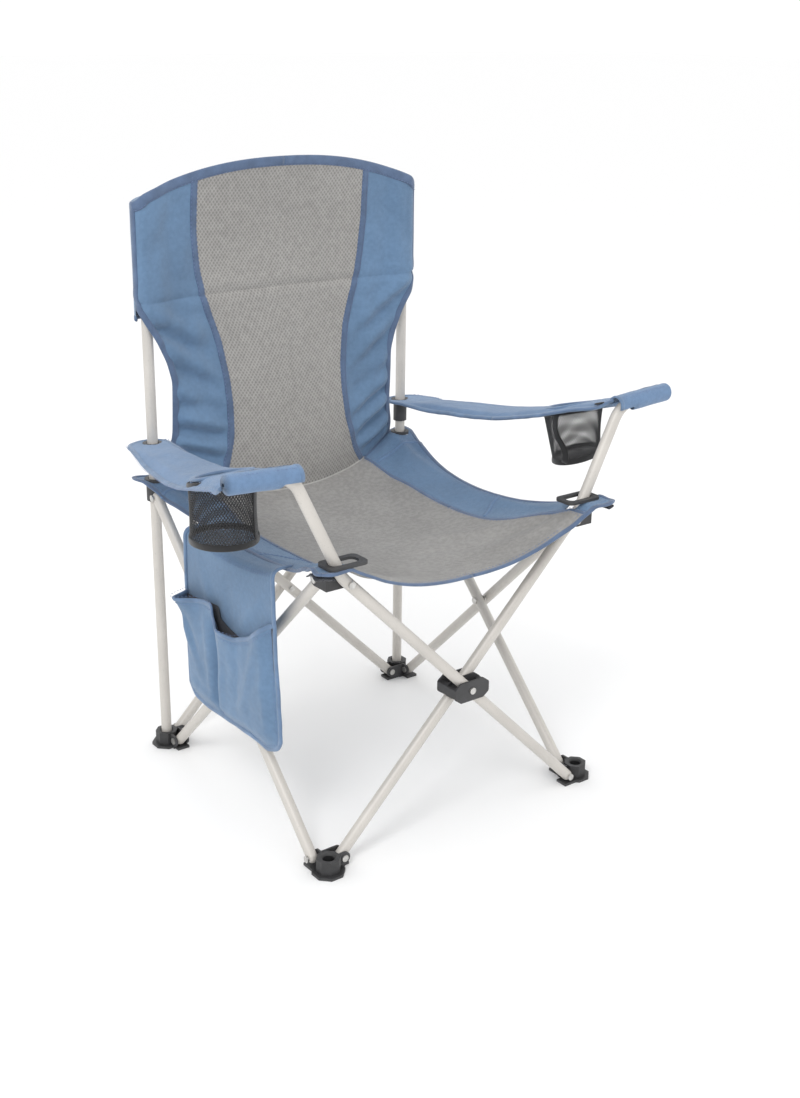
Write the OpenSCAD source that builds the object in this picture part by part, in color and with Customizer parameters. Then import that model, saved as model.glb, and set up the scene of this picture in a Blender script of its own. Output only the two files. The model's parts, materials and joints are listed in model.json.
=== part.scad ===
// Folding camp chair: a four-sided scissor frame of round tube that carries a sewn
// sling seat and back, two fabric armrests with mesh cup holders and a side pocket.
// Frame: +Z up, floor at z = 0, sitter faces -Y, origin under the middle of the chair.

/* [Frame] */
// Spacing of the foot sockets, side to side and front to back
span = 460; // [430:1:490]
// Height of the lower tube pivots
foot_pivot_z = 14; // [13:1:18]
// Height of the upper tube pivots, under the seat corners
seat_pivot_z = 424; // [400:1:440]
// Distance of each pivot from its corner, along the face
pivot_inset = 26; // [25:1:32]
// Height of the tops of the rear posts
post_top_z = 851; // [780:1:900]

/* [Tubes] */
// Outer diameter of every tube
tube_d = 16; // [15:0.5:18]
// Wall of every tube
tube_wall = 1; // [0.8:0.1:1.5]
// Gap between the two tubes that cross on one face
cross_gap = 3; // [2.6:0.2:5]
// Radius of the bend at the seat corner
corner_bend_r = 60; // [40:5:80]
// Radius of the bend under the armrest
arm_bend_r = 40; // [30:5:50]

/* [Arms] */
// Half width between the bends under the armrests
arm_bend_x = 287; // [278:1:295]
// Height of the bend under the armrest
arm_bend_z = 582; // [565:1:595]
// Half width across the ends of the arm tubes
arm_end_x = 374; // [360:1:385]
// Height of the arm tube's end
arm_end_z = 587; // [575:1:600]
// Height of the armrest ring on the rear post
arm_ring_z = 499; // [490:1:510]
// Height of the armrest where its two halves meet
arm_middle_z = 518; // [508:1:525]
// Thickness of the armrest
arm_thickness = 4; // [3:0.5:6]
// Half widths of the armrest at the ring, as inner and outer edge
arm_rear_edges = [204, 262];
// Half widths of the armrest at its middle, as inner and outer edge
arm_middle_edges = [236, 322];
// Half widths of the armrest at its front, as inner and outer edge
arm_front_edges = [262, 381];

/* [Cup holders] */
// Half width between the cup holders
cup_x = 305; // [300:1:312]
// Distance of the cup holders ahead of the middle
cup_y = 105; // [95:1:115]
// Outer radius of a cup holder
cup_r = 45; // [42:1:46]
// Radius of the hole in the armrest
cup_hole_r = 38; // [34:1:39]
// Height of the cup holder's floor
cup_floor_z = 462; // [450:1:480]
// Wall of a cup holder
cup_wall = 2; // [1.5:0.5:3]

/* [Plastic and rivets] */
// Diameter of the rivets
rivet_d = 5; // [4:0.5:6]
// Diameter of a rivet head
rivet_head_d = 10; // [8:0.5:12]
// Height of a rivet head
rivet_head_h = 2; // [1.5:0.5:2.5]
// Radial clearance of a rivet in a turning tube
pivot_clearance = 0.05; // [0.02:0.01:0.1]
// Height of the foot block
foot_h = 24; // [22:1:30]
// Width across the flats of the foot block
foot_w = 32; // [30:1:34]
// Height of the foot's base flange
flange_h = 4; // [3:0.5:5]
// Depth of the foot socket
socket_depth = 19; // [15:1:20]
// Radial clearance of a tube in a socket, slider or collar
socket_clearance = 0.06; // [0.03:0.01:0.1]
// Thickness of the cheeks and bracket plates
cheek = 3; // [2.6:0.2:4]
// Radius of a cheek or plate around its rivet
cheek_r = 9; // [8.5:0.5:10]
// Outer radius of the slider's sleeve
slider_r = 12.5; // [11.5:0.5:13]
// Height of the slider's sleeve
slider_h = 24; // [20:1:26]
// Half length of the hub
hub_x = 30; // [28:1:38]
// Half height of the hub
hub_z = 15; // [13:1:20]
// Outer radius of the stop collar
collar_r = 11; // [10:0.5:13]
// Height of the stop collar
collar_h = 31; // [26:1:40]

/* [Seat and back] */
// Thickness of the sling fabric
sling = 3; // [2:0.5:4]
// Height of the seat's front corners
seat_front_z = 450; // [446:1:456]
// Height of the seat's rear corners
seat_rear_z = 444; // [442:1:452]
// Height of the middle of the side edge
seat_edge_z = 404; // [395:1:410]
// Height of the middle of the front hem
seat_hem_z = 389; // [380:1:395]
// Lowest height of the seat
seat_low_z = 372; // [360:1:380]
// Height of the middle of the seam between seat and back
seat_seam_z = 398; // [390:1:405]
// How far the fabric corners reach beyond the sockets
corner_reach = 32; // [30:1:36]
// Height of the back's highest point
back_apex_z = 904; // [890:1:915]
// Height of the back's top corners
back_corner_z = 857; // [853:1:862]
// Half width of the back over the posts
back_x = 246; // [242:1:252]
// Half width of the back at its waist
waist_x = 200; // [190:1:205]
// How far the back bows rearward
back_bow = 22; // [10:1:26]

/* [Side pocket] */
// Front and rear ends of the pocket panel
pocket_y = [-155, 95];
// Lower and upper ends of the pocket panel
pocket_z = [152, 416];
// Height of the pocket's mouth
mouth_z = 312; // [290:1:340]
// Thickness of the pocket fabric
pocket_wall = 2; // [1.5:0.5:3]
// Depth of the pocket across
pocket_depth = 14; // [12:1:20]

/* [Hidden] */
$fn = 64;

STEEL = [0.77, 0.75, 0.73];
BLACK = [0.13, 0.13, 0.14];
ZINC = [0.62, 0.62, 0.62];
BLUE = [0.36, 0.47, 0.62];
GREY = [0.58, 0.58, 0.57];

half = span / 2;
tube_r = tube_d / 2;
pivot_x = half - pivot_inset;              // pivots lie this far from the middle of a face
lane = (tube_d + cross_gap) / 2;           // each tube's distance from the middle of the face
outer_y = half + lane;                     // axis of a face's outer tube
inner_y = half - lane;                     // axis of a face's inner tube
cross_z = (foot_pivot_z + seat_pivot_z) / 2;
rivet_r = rivet_d / 2;
hole_r = rivet_r + pivot_clearance;
side_gap = 0.4;                            // between a tube and a cheek beside it
socket_r = tube_r + socket_clearance;

// ---- helpers -------------------------------------------------------------

// A cylinder from point a to point b. It has a hemisphere at each end that round lists.
module rod(a, b, r, round = []) {
    d = b - a;
    translate(a) rotate([0, acos(d[2] / norm(d)), atan2(d[1], d[0])]) {
        cylinder(r = r, h = norm(d));
        for (end = round) translate([0, 0, end * norm(d)]) sphere(r = r);
    }
}

// The path through the points p, which lie in one plane y = const, with an arc of radius
// bends[i] at each inner point: a list of [point, direction].
function bent_path(p, bends) =
    let (n = len(p), u = [for (i = [0:n - 2]) (p[i + 1] - p[i]) / norm(p[i + 1] - p[i])])
    concat([[p[0], u[0]]],
        [for (i = [0:n - 3]) let (
            turn = acos(u[i] * u[i + 1]), steps = ceil(turn / bend_step), r = bends[i],
            inward = (u[i + 1] - cos(turn) * u[i]) / sin(turn),
            centre = p[i + 1] - r * tan(turn / 2) * u[i] + r * inward)
            each [for (k = [0:steps]) let (t = turn * k / steps)
                [centre - r * cos(t) * inward + r * sin(t) * u[i], cos(t) * u[i] + sin(t) * inward]]],
        [[p[n - 1], u[n - 2]]]);

bend_step = 6;                             // degrees of bend between two rings of a bent tube
tube_sides = 32;

// A closed bar round the rings, each [centre, direction, radius].
module swept_bar(rings) {
    n = len(rings);
    points = [for (g = rings) let (across = cross([0, 1, 0], g[1]))
        each [for (k = [0:tube_sides - 1]) let (t = 360 * k / tube_sides)
            g[0] + g[2] * (cos(t) * across + sin(t) * [0, 1, 0])]];
    function at(i, k) = i * tube_sides + k % tube_sides;
    polyhedron(points = points, faces = concat(
        [[for (k = [0:tube_sides - 1]) at(0, k)]],
        [[for (k = [tube_sides - 1:-1:0]) at(n - 1, k)]],
        [for (i = [0:n - 2], k = [0:tube_sides - 1]) each [
            [at(i, k), at(i + 1, k), at(i + 1, k + 1)], [at(i, k), at(i + 1, k + 1), at(i, k + 1)]]]));
}

// A rivet along +Y between y0 and y1, with a head at each end.
module rivet(x, y0, y1, z) {
    translate([x, y0, z]) rotate([-90, 0, 0]) {
        cylinder(r = rivet_r, h = y1 - y0);
        translate([0, 0, -rivet_head_h]) cylinder(d = rivet_head_d, h = rivet_head_h);
        translate([0, 0, y1 - y0]) cylinder(d = rivet_head_d, h = rivet_head_h);
    }
}

// A closed sheet between two grids of points, given as rows of columns.
module sheet(lower, upper) {
    rows = len(lower);
    cols = len(lower[0]);
    count = rows * cols;
    points = concat([for (row = lower) each row], [for (row = upper) each row]);
    function at(i, j) = i * cols + j;
    ring = concat([for (j = [0:cols - 1]) at(0, j)], [for (i = [1:rows - 1]) at(i, cols - 1)],
                  [for (j = [cols - 2:-1:0]) at(rows - 1, j)], [for (i = [rows - 2:-1:1]) at(i, 0)]);
    faces = concat(
        [for (i = [0:rows - 2], j = [0:cols - 2]) each [
            [at(i, j), at(i, j + 1), at(i + 1, j + 1)], [at(i, j), at(i + 1, j + 1), at(i + 1, j)],
            [count + at(i, j), count + at(i + 1, j + 1), count + at(i, j + 1)],
            [count + at(i, j), count + at(i + 1, j), count + at(i + 1, j + 1)]]],
        [for (k = [0:len(ring) - 1]) let (a = ring[k], b = ring[(k + 1) % len(ring)]) each [
            [a, count + a, b], [b, count + a, count + b]]]);
    polyhedron(points = points, faces = faces);
}

// Everything with four-fold symmetry is drawn on the front face or the front left corner
// and turned about the chair's middle: 0 front, 1 right, 2 rear, 3 left.
module turned(quarter) { rotate([0, 0, 90 * quarter]) children(); }

// ---- tubes ---------------------------------------------------------------

end_plug = 8;                              // a tube is closed this far past its end rivet

// The hole for a rivet along Y through point p.
module rivet_hole(p) {
    translate(p - [0, tube_d, 0]) rotate([-90, 0, 0]) cylinder(r = hole_r, h = 2 * tube_d);
}

// A straight face tube from its foot pivot to its upper pivot, with rounded closed ends.
// way = 1 leans left from the right foot, way = -1 leans right from the left foot.
module face_tube(y, way) {
    a = [way * pivot_x, y, foot_pivot_z];
    b = [-way * pivot_x, y, seat_pivot_z];
    u = (b - a) / norm(b - a);
    difference() {
        rod(a, b, tube_r, [0, 1]);
        rod(a + end_plug * u, b - end_plug * u, tube_r - tube_wall);
        for (p = [a, (a + b) / 2, b]) rivet_hole(p);
    }
}

// A front tube that passes its seat corner, rises as the arm post and turns outward into
// the armrest. way = 1 is the left arm, which starts at the right foot.
function arm_path(y, way, start, over) =
    let (a = [way * pivot_x, y, foot_pivot_z], b = [-way * pivot_x, y, seat_pivot_z],
         u = (b - a) / norm(b - a), c = b + corner_run * u,
         d = [-way * arm_bend_x, y, arm_bend_z], e = [-way * arm_end_x, y, arm_end_z])
    [a + start * u, c, d, e + over * (e - d) / norm(e - d)];

corner_run = 14;                           // from the upper pivot to the bend above it

module arm_tube(y, way) {
    path = arm_path(y, way, 0, 0);
    bends = [corner_bend_r, arm_bend_r];
    first = (path[1] - path[0]) / norm(path[1] - path[0]);
    difference() {
        swept_bar(concat(
            [for (t = [80:-20:20]) [path[0] - tube_r * sin(t) * first, first, tube_r * cos(t)]],
            [for (g = bent_path(path, bends)) [g[0], g[1], tube_r]]));
        swept_bar([for (g = bent_path(arm_path(y, way, end_plug, 1), bends)) [g[0], g[1], tube_r - tube_wall]]);
        for (p = [path[0], [0, y, cross_z], [-way * pivot_x, y, seat_pivot_z]]) rivet_hole(p);
    }
}

module front_tube_left_arm() { color(STEEL) arm_tube(-outer_y, 1); }
module front_tube_right_arm() { color(STEEL) arm_tube(-inner_y, -1); }
module side_tube_left_outer() { color(STEEL) turned(3) face_tube(-outer_y, 1); }
module side_tube_left_inner() { color(STEEL) turned(3) face_tube(-inner_y, -1); }
module side_tube_right_outer() { color(STEEL) turned(1) face_tube(-outer_y, 1); }
module side_tube_right_inner() { color(STEEL) turned(1) face_tube(-inner_y, -1); }
module rear_tube_outer() { color(STEEL) turned(2) face_tube(-outer_y, 1); }
module rear_tube_inner() { color(STEEL) turned(2) face_tube(-inner_y, -1); }

post_foot_z = foot_h - socket_depth;       // the post stands on the socket's floor

module rear_post(side) {
    color(STEEL) translate([side * half, half, post_foot_z]) difference() {
        cylinder(r = tube_r, h = post_top_z - post_foot_z);
        translate([0, 0, -1]) cylinder(r = tube_r - tube_wall, h = post_top_z - post_foot_z + 2);
    }
}
module rear_post_left() { rear_post(-1); }
module rear_post_right() { rear_post(1); }

// ---- rivets --------------------------------------------------------------

// Where two tubes cross on a side or at the rear; a washer fills the gap between them.
module cross_rivet(quarter) {
    color(ZINC) turned(quarter) {
        rivet(0, -outer_y - tube_r - side_gap, -inner_y + tube_r + side_gap, cross_z);
        translate([0, -half - cross_gap / 2 + side_gap, cross_z]) rotate([-90, 0, 0])
            cylinder(d = rivet_head_d, h = cross_gap - 2 * side_gap);
    }
}
module cross_rivet_left() { cross_rivet(3); }
module cross_rivet_right() { cross_rivet(1); }
module cross_rivet_rear() { cross_rivet(2); }

cheek_in = tube_r + side_gap;              // from a tube's axis to the near face of a cheek
cheek_out = cheek_in + cheek;

// Both rivets of one foot, drawn for the front left foot.
module foot_rivets(quarter) {
    color(ZINC) turned(quarter) {
        rivet(-pivot_x, -inner_y - cheek_out, -inner_y + cheek_out, foot_pivot_z);
        mirror([1, -1, 0]) rivet(-pivot_x, -outer_y - tube_r - side_gap, -outer_y + cheek_out, foot_pivot_z);
    }
}
module foot_rivets_front_left() { foot_rivets(0); }
module foot_rivets_front_right() { foot_rivets(1); }
module foot_rivets_rear_left() { foot_rivets(3); }
module foot_rivets_rear_right() { foot_rivets(2); }

// Both rivets of one upper corner, drawn for the front left corner.
module upper_rivets(quarter) {
    color(ZINC) turned(quarter) {
        rivet(-pivot_x, -outer_y - tube_r - side_gap, -outer_y + cheek_out, seat_pivot_z);
        mirror([1, -1, 0]) rivet(-pivot_x, -inner_y - cheek_out, -inner_y + tube_r + side_gap, seat_pivot_z);
    }
}
module corner_rivets_left() { upper_rivets(0); }
module corner_rivets_right() { upper_rivets(1); }
module slider_rivets_left() { upper_rivets(3); }
module slider_rivets_right() { upper_rivets(2); }

module hub_rivet() {
    color(ZINC) rivet(0, -outer_y - cheek_in - hub_cover, -inner_y + cheek_in + hub_cover, cross_z);
}

// ---- plastic -------------------------------------------------------------

// A cheek that holds a rivet at x = -pivot_x, reaching back to the corner block.
module cheek_plate(y0, z, low, high, thick) {
    translate([0, y0, 0]) difference() {
        union() {
            translate([-pivot_x, 0, z]) rotate([-90, 0, 0]) cylinder(r = cheek_r, h = thick);
            translate([-half, 0, low]) cube([pivot_inset, thick, high - low]);
        }
        translate([-pivot_x, -1, z]) rotate([-90, 0, 0]) cylinder(r = hole_r, h = thick + 2);
    }
}

module octagon(w, h) {
    rotate([0, 0, 22.5]) cylinder(d = w / cos(22.5), h = h, $fn = 8);
}

flange_w = foot_w + 12;

// A foot: an octagonal block with an upright socket and two forks for the tubes.
module foot(quarter) {
    color(BLACK) turned(quarter) difference() {
        union() {
            translate([-half, -half, 0]) {
                octagon(flange_w, flange_h);
                octagon(foot_w, foot_h);
            }
            fork(-inner_y, [-cheek_out, cheek_in]);
            mirror([1, -1, 0]) fork(-outer_y, [cheek_in]);
        }
        translate([-half, -half, foot_h - socket_depth]) cylinder(r = socket_r, h = socket_depth + 1);
        translate([-half, -half, foot_h - lead_in]) cylinder(r1 = socket_r, r2 = socket_r + lead_in, h = lead_in + 0.01);
        fork_room(-inner_y);
        mirror([1, -1, 0]) fork_room(-outer_y);
    }
}

lead_in = 2.5;                             // depth of the socket's bevelled mouth

// Cheeks on a base beside a tube whose axis is at y, each starting at one of the offsets.
module fork(y, offsets) {
    translate([-half, y - cheek_in, 0]) cube([pivot_inset + cheek_r, cheek_in + cheek_out, flange_h]);
    for (offset = offsets)
        cheek_plate(y + offset, foot_pivot_z, 0, foot_pivot_z + cheek_r, cheek);
}

// The room in which a tube's rounded end turns between its cheeks.
module fork_room(y) {
    translate([-pivot_x - cheek_r, y - cheek_in, flange_h]) cube([cheek_r * 2 + 4, 2 * cheek_in, foot_h]);
}

module foot_front_left() { foot(0); }
module foot_front_right() { foot(1); }
module foot_rear_left() { foot(3); }
module foot_rear_right() { foot(2); }

bracket_low = seat_pivot_z - cheek_r;
bracket_high = seat_pivot_z + cheek_r;

// Two plates at right angles, one behind the outer tube and one outside the inner tube.
module upper_plates(corner) {
    difference() {
        union() {
            cheek_plate(-outer_y + cheek_in, seat_pivot_z, bracket_low, bracket_high, cheek);
            mirror([1, -1, 0])
                cheek_plate(-inner_y - cheek_out, seat_pivot_z, bracket_low, bracket_high, cheek);
            if (corner) translate([-inner_y - cheek_out, -outer_y + cheek_in, bracket_low])
                cube([2 * cheek, 2 * cheek, bracket_high - bracket_low]);
        }
        if (corner) {
            // trims both plates to a clean outside corner
            translate([-half - 50, -half - 50, bracket_low - 1])
                cube([50 + half - inner_y - cheek_out, 100, 2 * cheek_r + 2]);
            translate([-half - 50, -half - 50, bracket_low - 1])
                cube([100, 50 + half - outer_y + cheek_in, 2 * cheek_r + 2]);
        }
    }
}

module corner_bracket(quarter) { color(BLACK) turned(quarter) upper_plates(true); }
module corner_bracket_left() { corner_bracket(0); }
module corner_bracket_right() { corner_bracket(1); }

// A slider: a sleeve on the rear post with the same two plates.
module slider(quarter) {
    color(BLACK) turned(quarter) difference() {
        union() {
            upper_plates(false);
            translate([-half, -half, seat_pivot_z - slider_h / 2]) cylinder(r = slider_r, h = slider_h - 2);
        }
        translate([-half, -half, seat_pivot_z - slider_h]) cylinder(r = socket_r, h = 2 * slider_h);
    }
}
module slider_left() { slider(3); }
module slider_right() { slider(2); }

hub_cover = 3;                             // thickness of the hub's outer plates
hub_block_z = 7.5;                         // half height of the blocks that join its plates
hub_block = hub_x - hub_block_z - 1.5 * tube_r - 0.5;    // their length, clear of the leaning tubes
hub_chamfer = 10;

// One plate of the hub, with six-sided outline.
module hub_plate(y0, y1) {
    translate([0, y1, cross_z]) rotate([90, 0, 0]) linear_extrude(y1 - y0)
        polygon([[-hub_x, -hub_z / 2], [-hub_x + hub_chamfer, -hub_z], [hub_x - hub_chamfer, -hub_z], [hub_x, -hub_z / 2],
                 [hub_x, hub_z / 2], [hub_x - hub_chamfer, hub_z], [-hub_x + hub_chamfer, hub_z], [-hub_x, hub_z / 2]]);
}

module front_hub() {
    color(BLACK) difference() {
        union() {
            hub_plate(-outer_y - cheek_in - hub_cover, -outer_y - cheek_in);
            hub_plate(-half - cross_gap / 2 + side_gap, -half + cross_gap / 2 - side_gap);
            hub_plate(-inner_y + cheek_in, -inner_y + cheek_in + hub_cover);
            for (x = [-hub_x, hub_x - hub_block])
                translate([x, -outer_y - cheek_in - hub_cover, cross_z - hub_block_z])
                    cube([hub_block, 2 * (lane + cheek_in + hub_cover), 2 * hub_block_z]);
        }
        translate([0, -half - 50, cross_z]) rotate([-90, 0, 0]) cylinder(r = hole_r, h = 100);
        for (x = [-hub_x - 1, hub_x + 1], z = [-hub_block_z, hub_block_z])
            translate([x, -half - 50, cross_z + z]) rotate([0, 45, 0]) translate([-1.5, 0, -1.5])
                cube([3, 100, 3]);
    }
}

collar_gap = 1;                            // between the collar and the armrest ring

module stop_collar(side) {
    color(BLACK) translate([side * half, half, arm_ring_z - ring_h / 2 - collar_gap - collar_h]) difference() {
        cylinder(r = collar_r, h = collar_h);
        translate([0, 0, -1]) cylinder(r = socket_r, h = collar_h + 2);
    }
}
module stop_collar_left() { stop_collar(-1); }
module stop_collar_right() { stop_collar(1); }

cap_depth = 16;
cap_roof = 3;
cap_wall = 1.5;

module post_cap(side) {
    color(BLACK) translate([side * half, half, post_top_z - cap_depth]) difference() {
        cylinder(r = socket_r + cap_wall, h = cap_depth + cap_roof);
        translate([0, 0, -1]) cylinder(r = socket_r, h = cap_depth + 1);
    }
}
module post_cap_left() { post_cap(-1); }
module post_cap_right() { post_cap(1); }

ring_r = 15;                               // outer radius of the rings round the posts
ring_h = 4;
ring_hole_r = tube_r + 1;

// A round eyelet on a rear post.
module eyelet(side, z) {
    translate([side * half, half, z - ring_h / 2]) difference() {
        cylinder(r = ring_r, h = ring_h);
        translate([0, 0, -1]) cylinder(r = ring_hole_r, h = ring_h + 2);
    }
}
module arm_ring_left() { color(ZINC) eyelet(-1, arm_ring_z); }
module arm_ring_right() { color(ZINC) eyelet(1, arm_ring_z); }
module seat_grommet_rear_left() { color(BLACK) eyelet(-1, seat_rear_z); }
module seat_grommet_rear_right() { color(BLACK) eyelet(1, seat_rear_z); }

grommet = [60, 36, 4];                     // outside of the front grommets
grommet_slot = [44, 20];                   // the arm tube tilts in this slot as the frame folds
grommet_x = 212;                           // middle of the slot

module rounded_plate(size, r, h) {
    linear_extrude(h) union() {
        square([size[0] - 2 * r, size[1]], center = true);
        square([size[0], size[1] - 2 * r], center = true);
        for (x = [-1, 1], y = [-1, 1]) translate([x * (size[0] / 2 - r), y * (size[1] / 2 - r)]) circle(r = r);
    }
}

module front_grommet(side, y) {
    color(BLACK) translate([side * grommet_x, y, seat_front_z + sling / 2 + mid_gap]) difference() {
        rounded_plate(grommet, 9, grommet[2]);
        translate([0, 0, -1]) rounded_plate(grommet_slot, 8, grommet[2] + 2);
    }
}
module seat_grommet_front_left() { front_grommet(-1, -outer_y); }
module seat_grommet_front_right() { front_grommet(1, -inner_y); }

// ---- seat and back -------------------------------------------------------

grid = 8;                                  // steps across each quarter of the seat
fall = 2.2;                                // how sharply the fabric rises to its edges
mid_gap = 0.3;                             // half the gap between neighbouring fabric solids
rear_seam_y = 196;                         // middle of the seam between seat and back
hem_y = half + 14;                         // middle of the front hem
side_edge_x = half - 8;                    // middle of the side edge
flat_x = 203;                              // the fabric is level outside this

function rise(t) = pow(min(1, t), fall);
function seat_z(x, y) =
    let (front = y < 0, side = abs(x) / flat_x, along = abs(y) / 225,
         end_z = front ? seat_hem_z : seat_seam_z, middle = seat_low_z
             + (end_z - seat_low_z) * pow(abs(y) / (front ? hem_y : rear_seam_y), 2) * (front ? 1 : min(1, 1.2 - side / 2)),
         edge = seat_edge_z + ((front ? seat_front_z : seat_rear_z) - seat_edge_z) * rise(along))
    middle + (edge - middle) * rise(side);

// One quarter of the seat. side = -1 left, 1 right; end = -1 front, 1 rear.
module seat_quarter(side, end) {
    reach = half + corner_reach;
    points = [for (i = [0:grid]) [for (j = [0:grid])
        let (u = i / grid, v = j / grid,
             x = side * (mid_gap + u * (side_edge_x + (reach - side_edge_x) * v * v - mid_gap)),
             y_end = end < 0 ? hem_y + (reach - hem_y) * u : rear_seam_y + (reach - rear_seam_y) * u * u,
             y = end * (mid_gap + v * (y_end - mid_gap)))
        [x, y, seat_z(x, y)]]];
    lower = [for (row = points) [for (p = row) p - [0, 0, sling / 2]]];
    upper = [for (row = points) [for (p = row) p + [0, 0, sling / 2]]];
    // the grid's handedness decides which side is up
    if (side * end > 0) sheet(lower, upper); else sheet(upper, lower);
}

grommet_room = 0.6;

module seat_front(side, y) {
    color(BLUE) difference() {
        seat_quarter(side, -1);
        translate([side * grommet_x, y, seat_front_z - 15])
            cube([grommet_slot[0] + grommet_room, grommet_slot[1] + grommet_room, 60], center = true);
    }
}
module seat_rear(side) {
    color(BLUE) difference() {
        seat_quarter(side, 1);
        translate([side * half, half, seat_rear_z - 15]) cylinder(r = ring_r + grommet_room, h = 30);
    }
}
module seat_front_left() { seat_front(-1, -outer_y); }
module seat_front_right() { seat_front(1, -inner_y); }
module seat_rear_left() { seat_rear(-1); }
module seat_rear_right() { seat_rear(1); }

back_rows = 14;
back_gap = 8.5;                            // between the back and the posts behind it
back_y = half - tube_r - back_gap - sling / 2;
back_bottom_z = 406;                       // middle of the back's lower edge
back_side_z = 462;                         // the lower edge beside the posts
waist_z = 590;                             // the back is narrow below this
shoulder_z = 686;                          // and wraps the posts above this

// Half width of the back at height z.
function back_half(z) = z < waist_z ? waist_x
    : z > shoulder_z ? back_x
    : waist_x + (back_x - waist_x) * (1 - cos(180 * (z - waist_z) / (shoulder_z - waist_z))) / 2;

module back_half_panel(side) {
    points = [for (i = [0:grid]) [for (j = [0:back_rows])
        let (u = i / grid, t = j / back_rows,
             low = back_bottom_z + (back_side_z - back_bottom_z) * pow(u, 2),
             high = back_apex_z - (back_apex_z - back_corner_z) * pow(u, 2.4),
             z = low + t * (high - low),
             x = side * (mid_gap + u * (back_half(z) - mid_gap)),
             bow = back_bow * pow(1 - u * u, 1.5) * sin(180 * pow(t, 1.6)),
             y = back_y + bow - 26 * (1 - u * u) * pow(1 - t, 3))
        [x, y, z]]];
    front = [for (row = points) [for (p = row) p - [0, sling / 2, 0]]];
    rear = [for (row = points) [for (p = row) p + [0, sling / 2, 0]]];
    if (side > 0) sheet(rear, front); else sheet(front, rear);
}
module back_panel_left() { color(GREY) back_half_panel(-1); }
module back_panel_right() { color(GREY) back_half_panel(1); }

// ---- armrests ------------------------------------------------------------

sleeve_r = 12;                             // outside of the fabric sleeve on the arm tube's end
sleeve_room = 0.4;

// The front edge of each armrest lies just behind its tube.
function arm_front_y(tube_y) = tube_y + sleeve_r + 0.6;

// A flat panel from y0 to y1 whose height goes from z0 to z1, with inner and outer edges e0, e1.
module arm_panel(side, y0, z0, e0, y1, z1, e1) {
    length = norm([y1 - y0, z1 - z0]);
    translate([0, y0, z0]) rotate([atan2(z1 - z0, y1 - y0), 0, 0])
        translate([0, 0, -arm_thickness / 2]) linear_extrude(arm_thickness)
            polygon([[side * e0[0], 0], [side * e0[1], 0], [side * e1[1], length], [side * e1[0], length]]);
}

arm_tail = 22;                             // fabric behind the rear post

module armrest_rear(side) {
    tail_y = half + arm_tail;
    slope = (arm_ring_z - arm_middle_z) / half;
    color(BLUE) difference() {
        arm_panel(side, mid_gap, arm_middle_z + slope * mid_gap, arm_middle_edges,
                  tail_y, arm_ring_z + slope * arm_tail, arm_rear_edges);
        translate([side * half, half, arm_ring_z - 20]) cylinder(r = ring_r + grommet_room, h = 40);
    }
}
module armrest_rear_left() { armrest_rear(-1); }
module armrest_rear_right() { armrest_rear(1); }

module armrest_front(side, tube_y) {
    color(BLUE) difference() {
        arm_panel(side, arm_front_y(tube_y), arm_end_z - 2, arm_front_edges,
                  -mid_gap, arm_middle_z, arm_middle_edges);
        translate([side * cup_x, -cup_y, arm_middle_z - 40]) cylinder(r = cup_hole_r, h = 120);
    }
}
module armrest_front_left() { armrest_front(-1, -outer_y); }
module armrest_front_right() { armrest_front(1, -inner_y); }

// The sewn sleeve that takes the end of the arm tube.
module arm_sleeve(side, y) {
    start = [side * arm_bend_x, y, arm_bend_z];
    end = [side * arm_end_x, y, arm_end_z];
    u = (end - start) / norm(end - start);
    first = start + (arm_bend_r * 0.62) * u;
    color(BLUE) difference() {
        rod(first, end + 6 * u, sleeve_r);
        rod(first - u, end + 2 * u, tube_r + sleeve_room);
    }
}
module arm_sleeve_left() { arm_sleeve(-1, -outer_y); }
module arm_sleeve_right() { arm_sleeve(1, -inner_y); }

// A mesh cup under the armrest, cut off along the armrest's underside.
module cup_holder(side, tube_y) {
    y0 = arm_front_y(tube_y);
    tilt = atan2(arm_middle_z - arm_end_z + 2, -mid_gap - y0);
    color(BLACK) difference() {
        translate([side * cup_x, -cup_y, cup_floor_z]) difference() {
            cylinder(r = cup_r, h = 150);
            translate([0, 0, cup_wall]) cylinder(r = cup_r - cup_wall, h = 150);
        }
        translate([0, y0, arm_end_z - 2]) rotate([tilt, 0, 0])
            translate([side * cup_x - 100, -100, -arm_thickness / 2 - mid_gap]) cube([200, 500, 200]);
    }
}
module cup_holder_left() { cup_holder(-1, -outer_y); }
module cup_holder_right() { cup_holder(1, -inner_y); }

// ---- side pocket ---------------------------------------------------------

pocket_x = -outer_y - tube_r - rivet_head_h - 3;     // near face of the panel, outside the tubes

// The panel's outline, as seen from its side, with cut lower corners.
module pocket_outline(inset, top) {
    y0 = pocket_y[0] + inset;
    y1 = pocket_y[1] - inset;
    z0 = pocket_z[0] + inset;
    cut = 24;
    polygon([[y0, z0 + cut], [y0 + cut, z0], [y1 - 2 * cut, z0], [y1 - cut, z0 + cut / 2], [y1, top], [y0, top]]);
}

module upright(x0, x1) {
    translate([x0, 0, 0]) rotate([90, 0, 90]) linear_extrude(x1 - x0) children();
}

module side_pocket() {
    color(BLUE) {
        difference() {
            union() {
                upright(pocket_x - pocket_wall, pocket_x) pocket_outline(0, pocket_z[1]);
                upright(pocket_x - pocket_depth, pocket_x - pocket_wall) pocket_outline(0, mouth_z);
            }
            upright(pocket_x - pocket_depth + pocket_wall, pocket_x - pocket_wall)
                pocket_outline(pocket_wall, mouth_z + 1);
        }
    }
}

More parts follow.
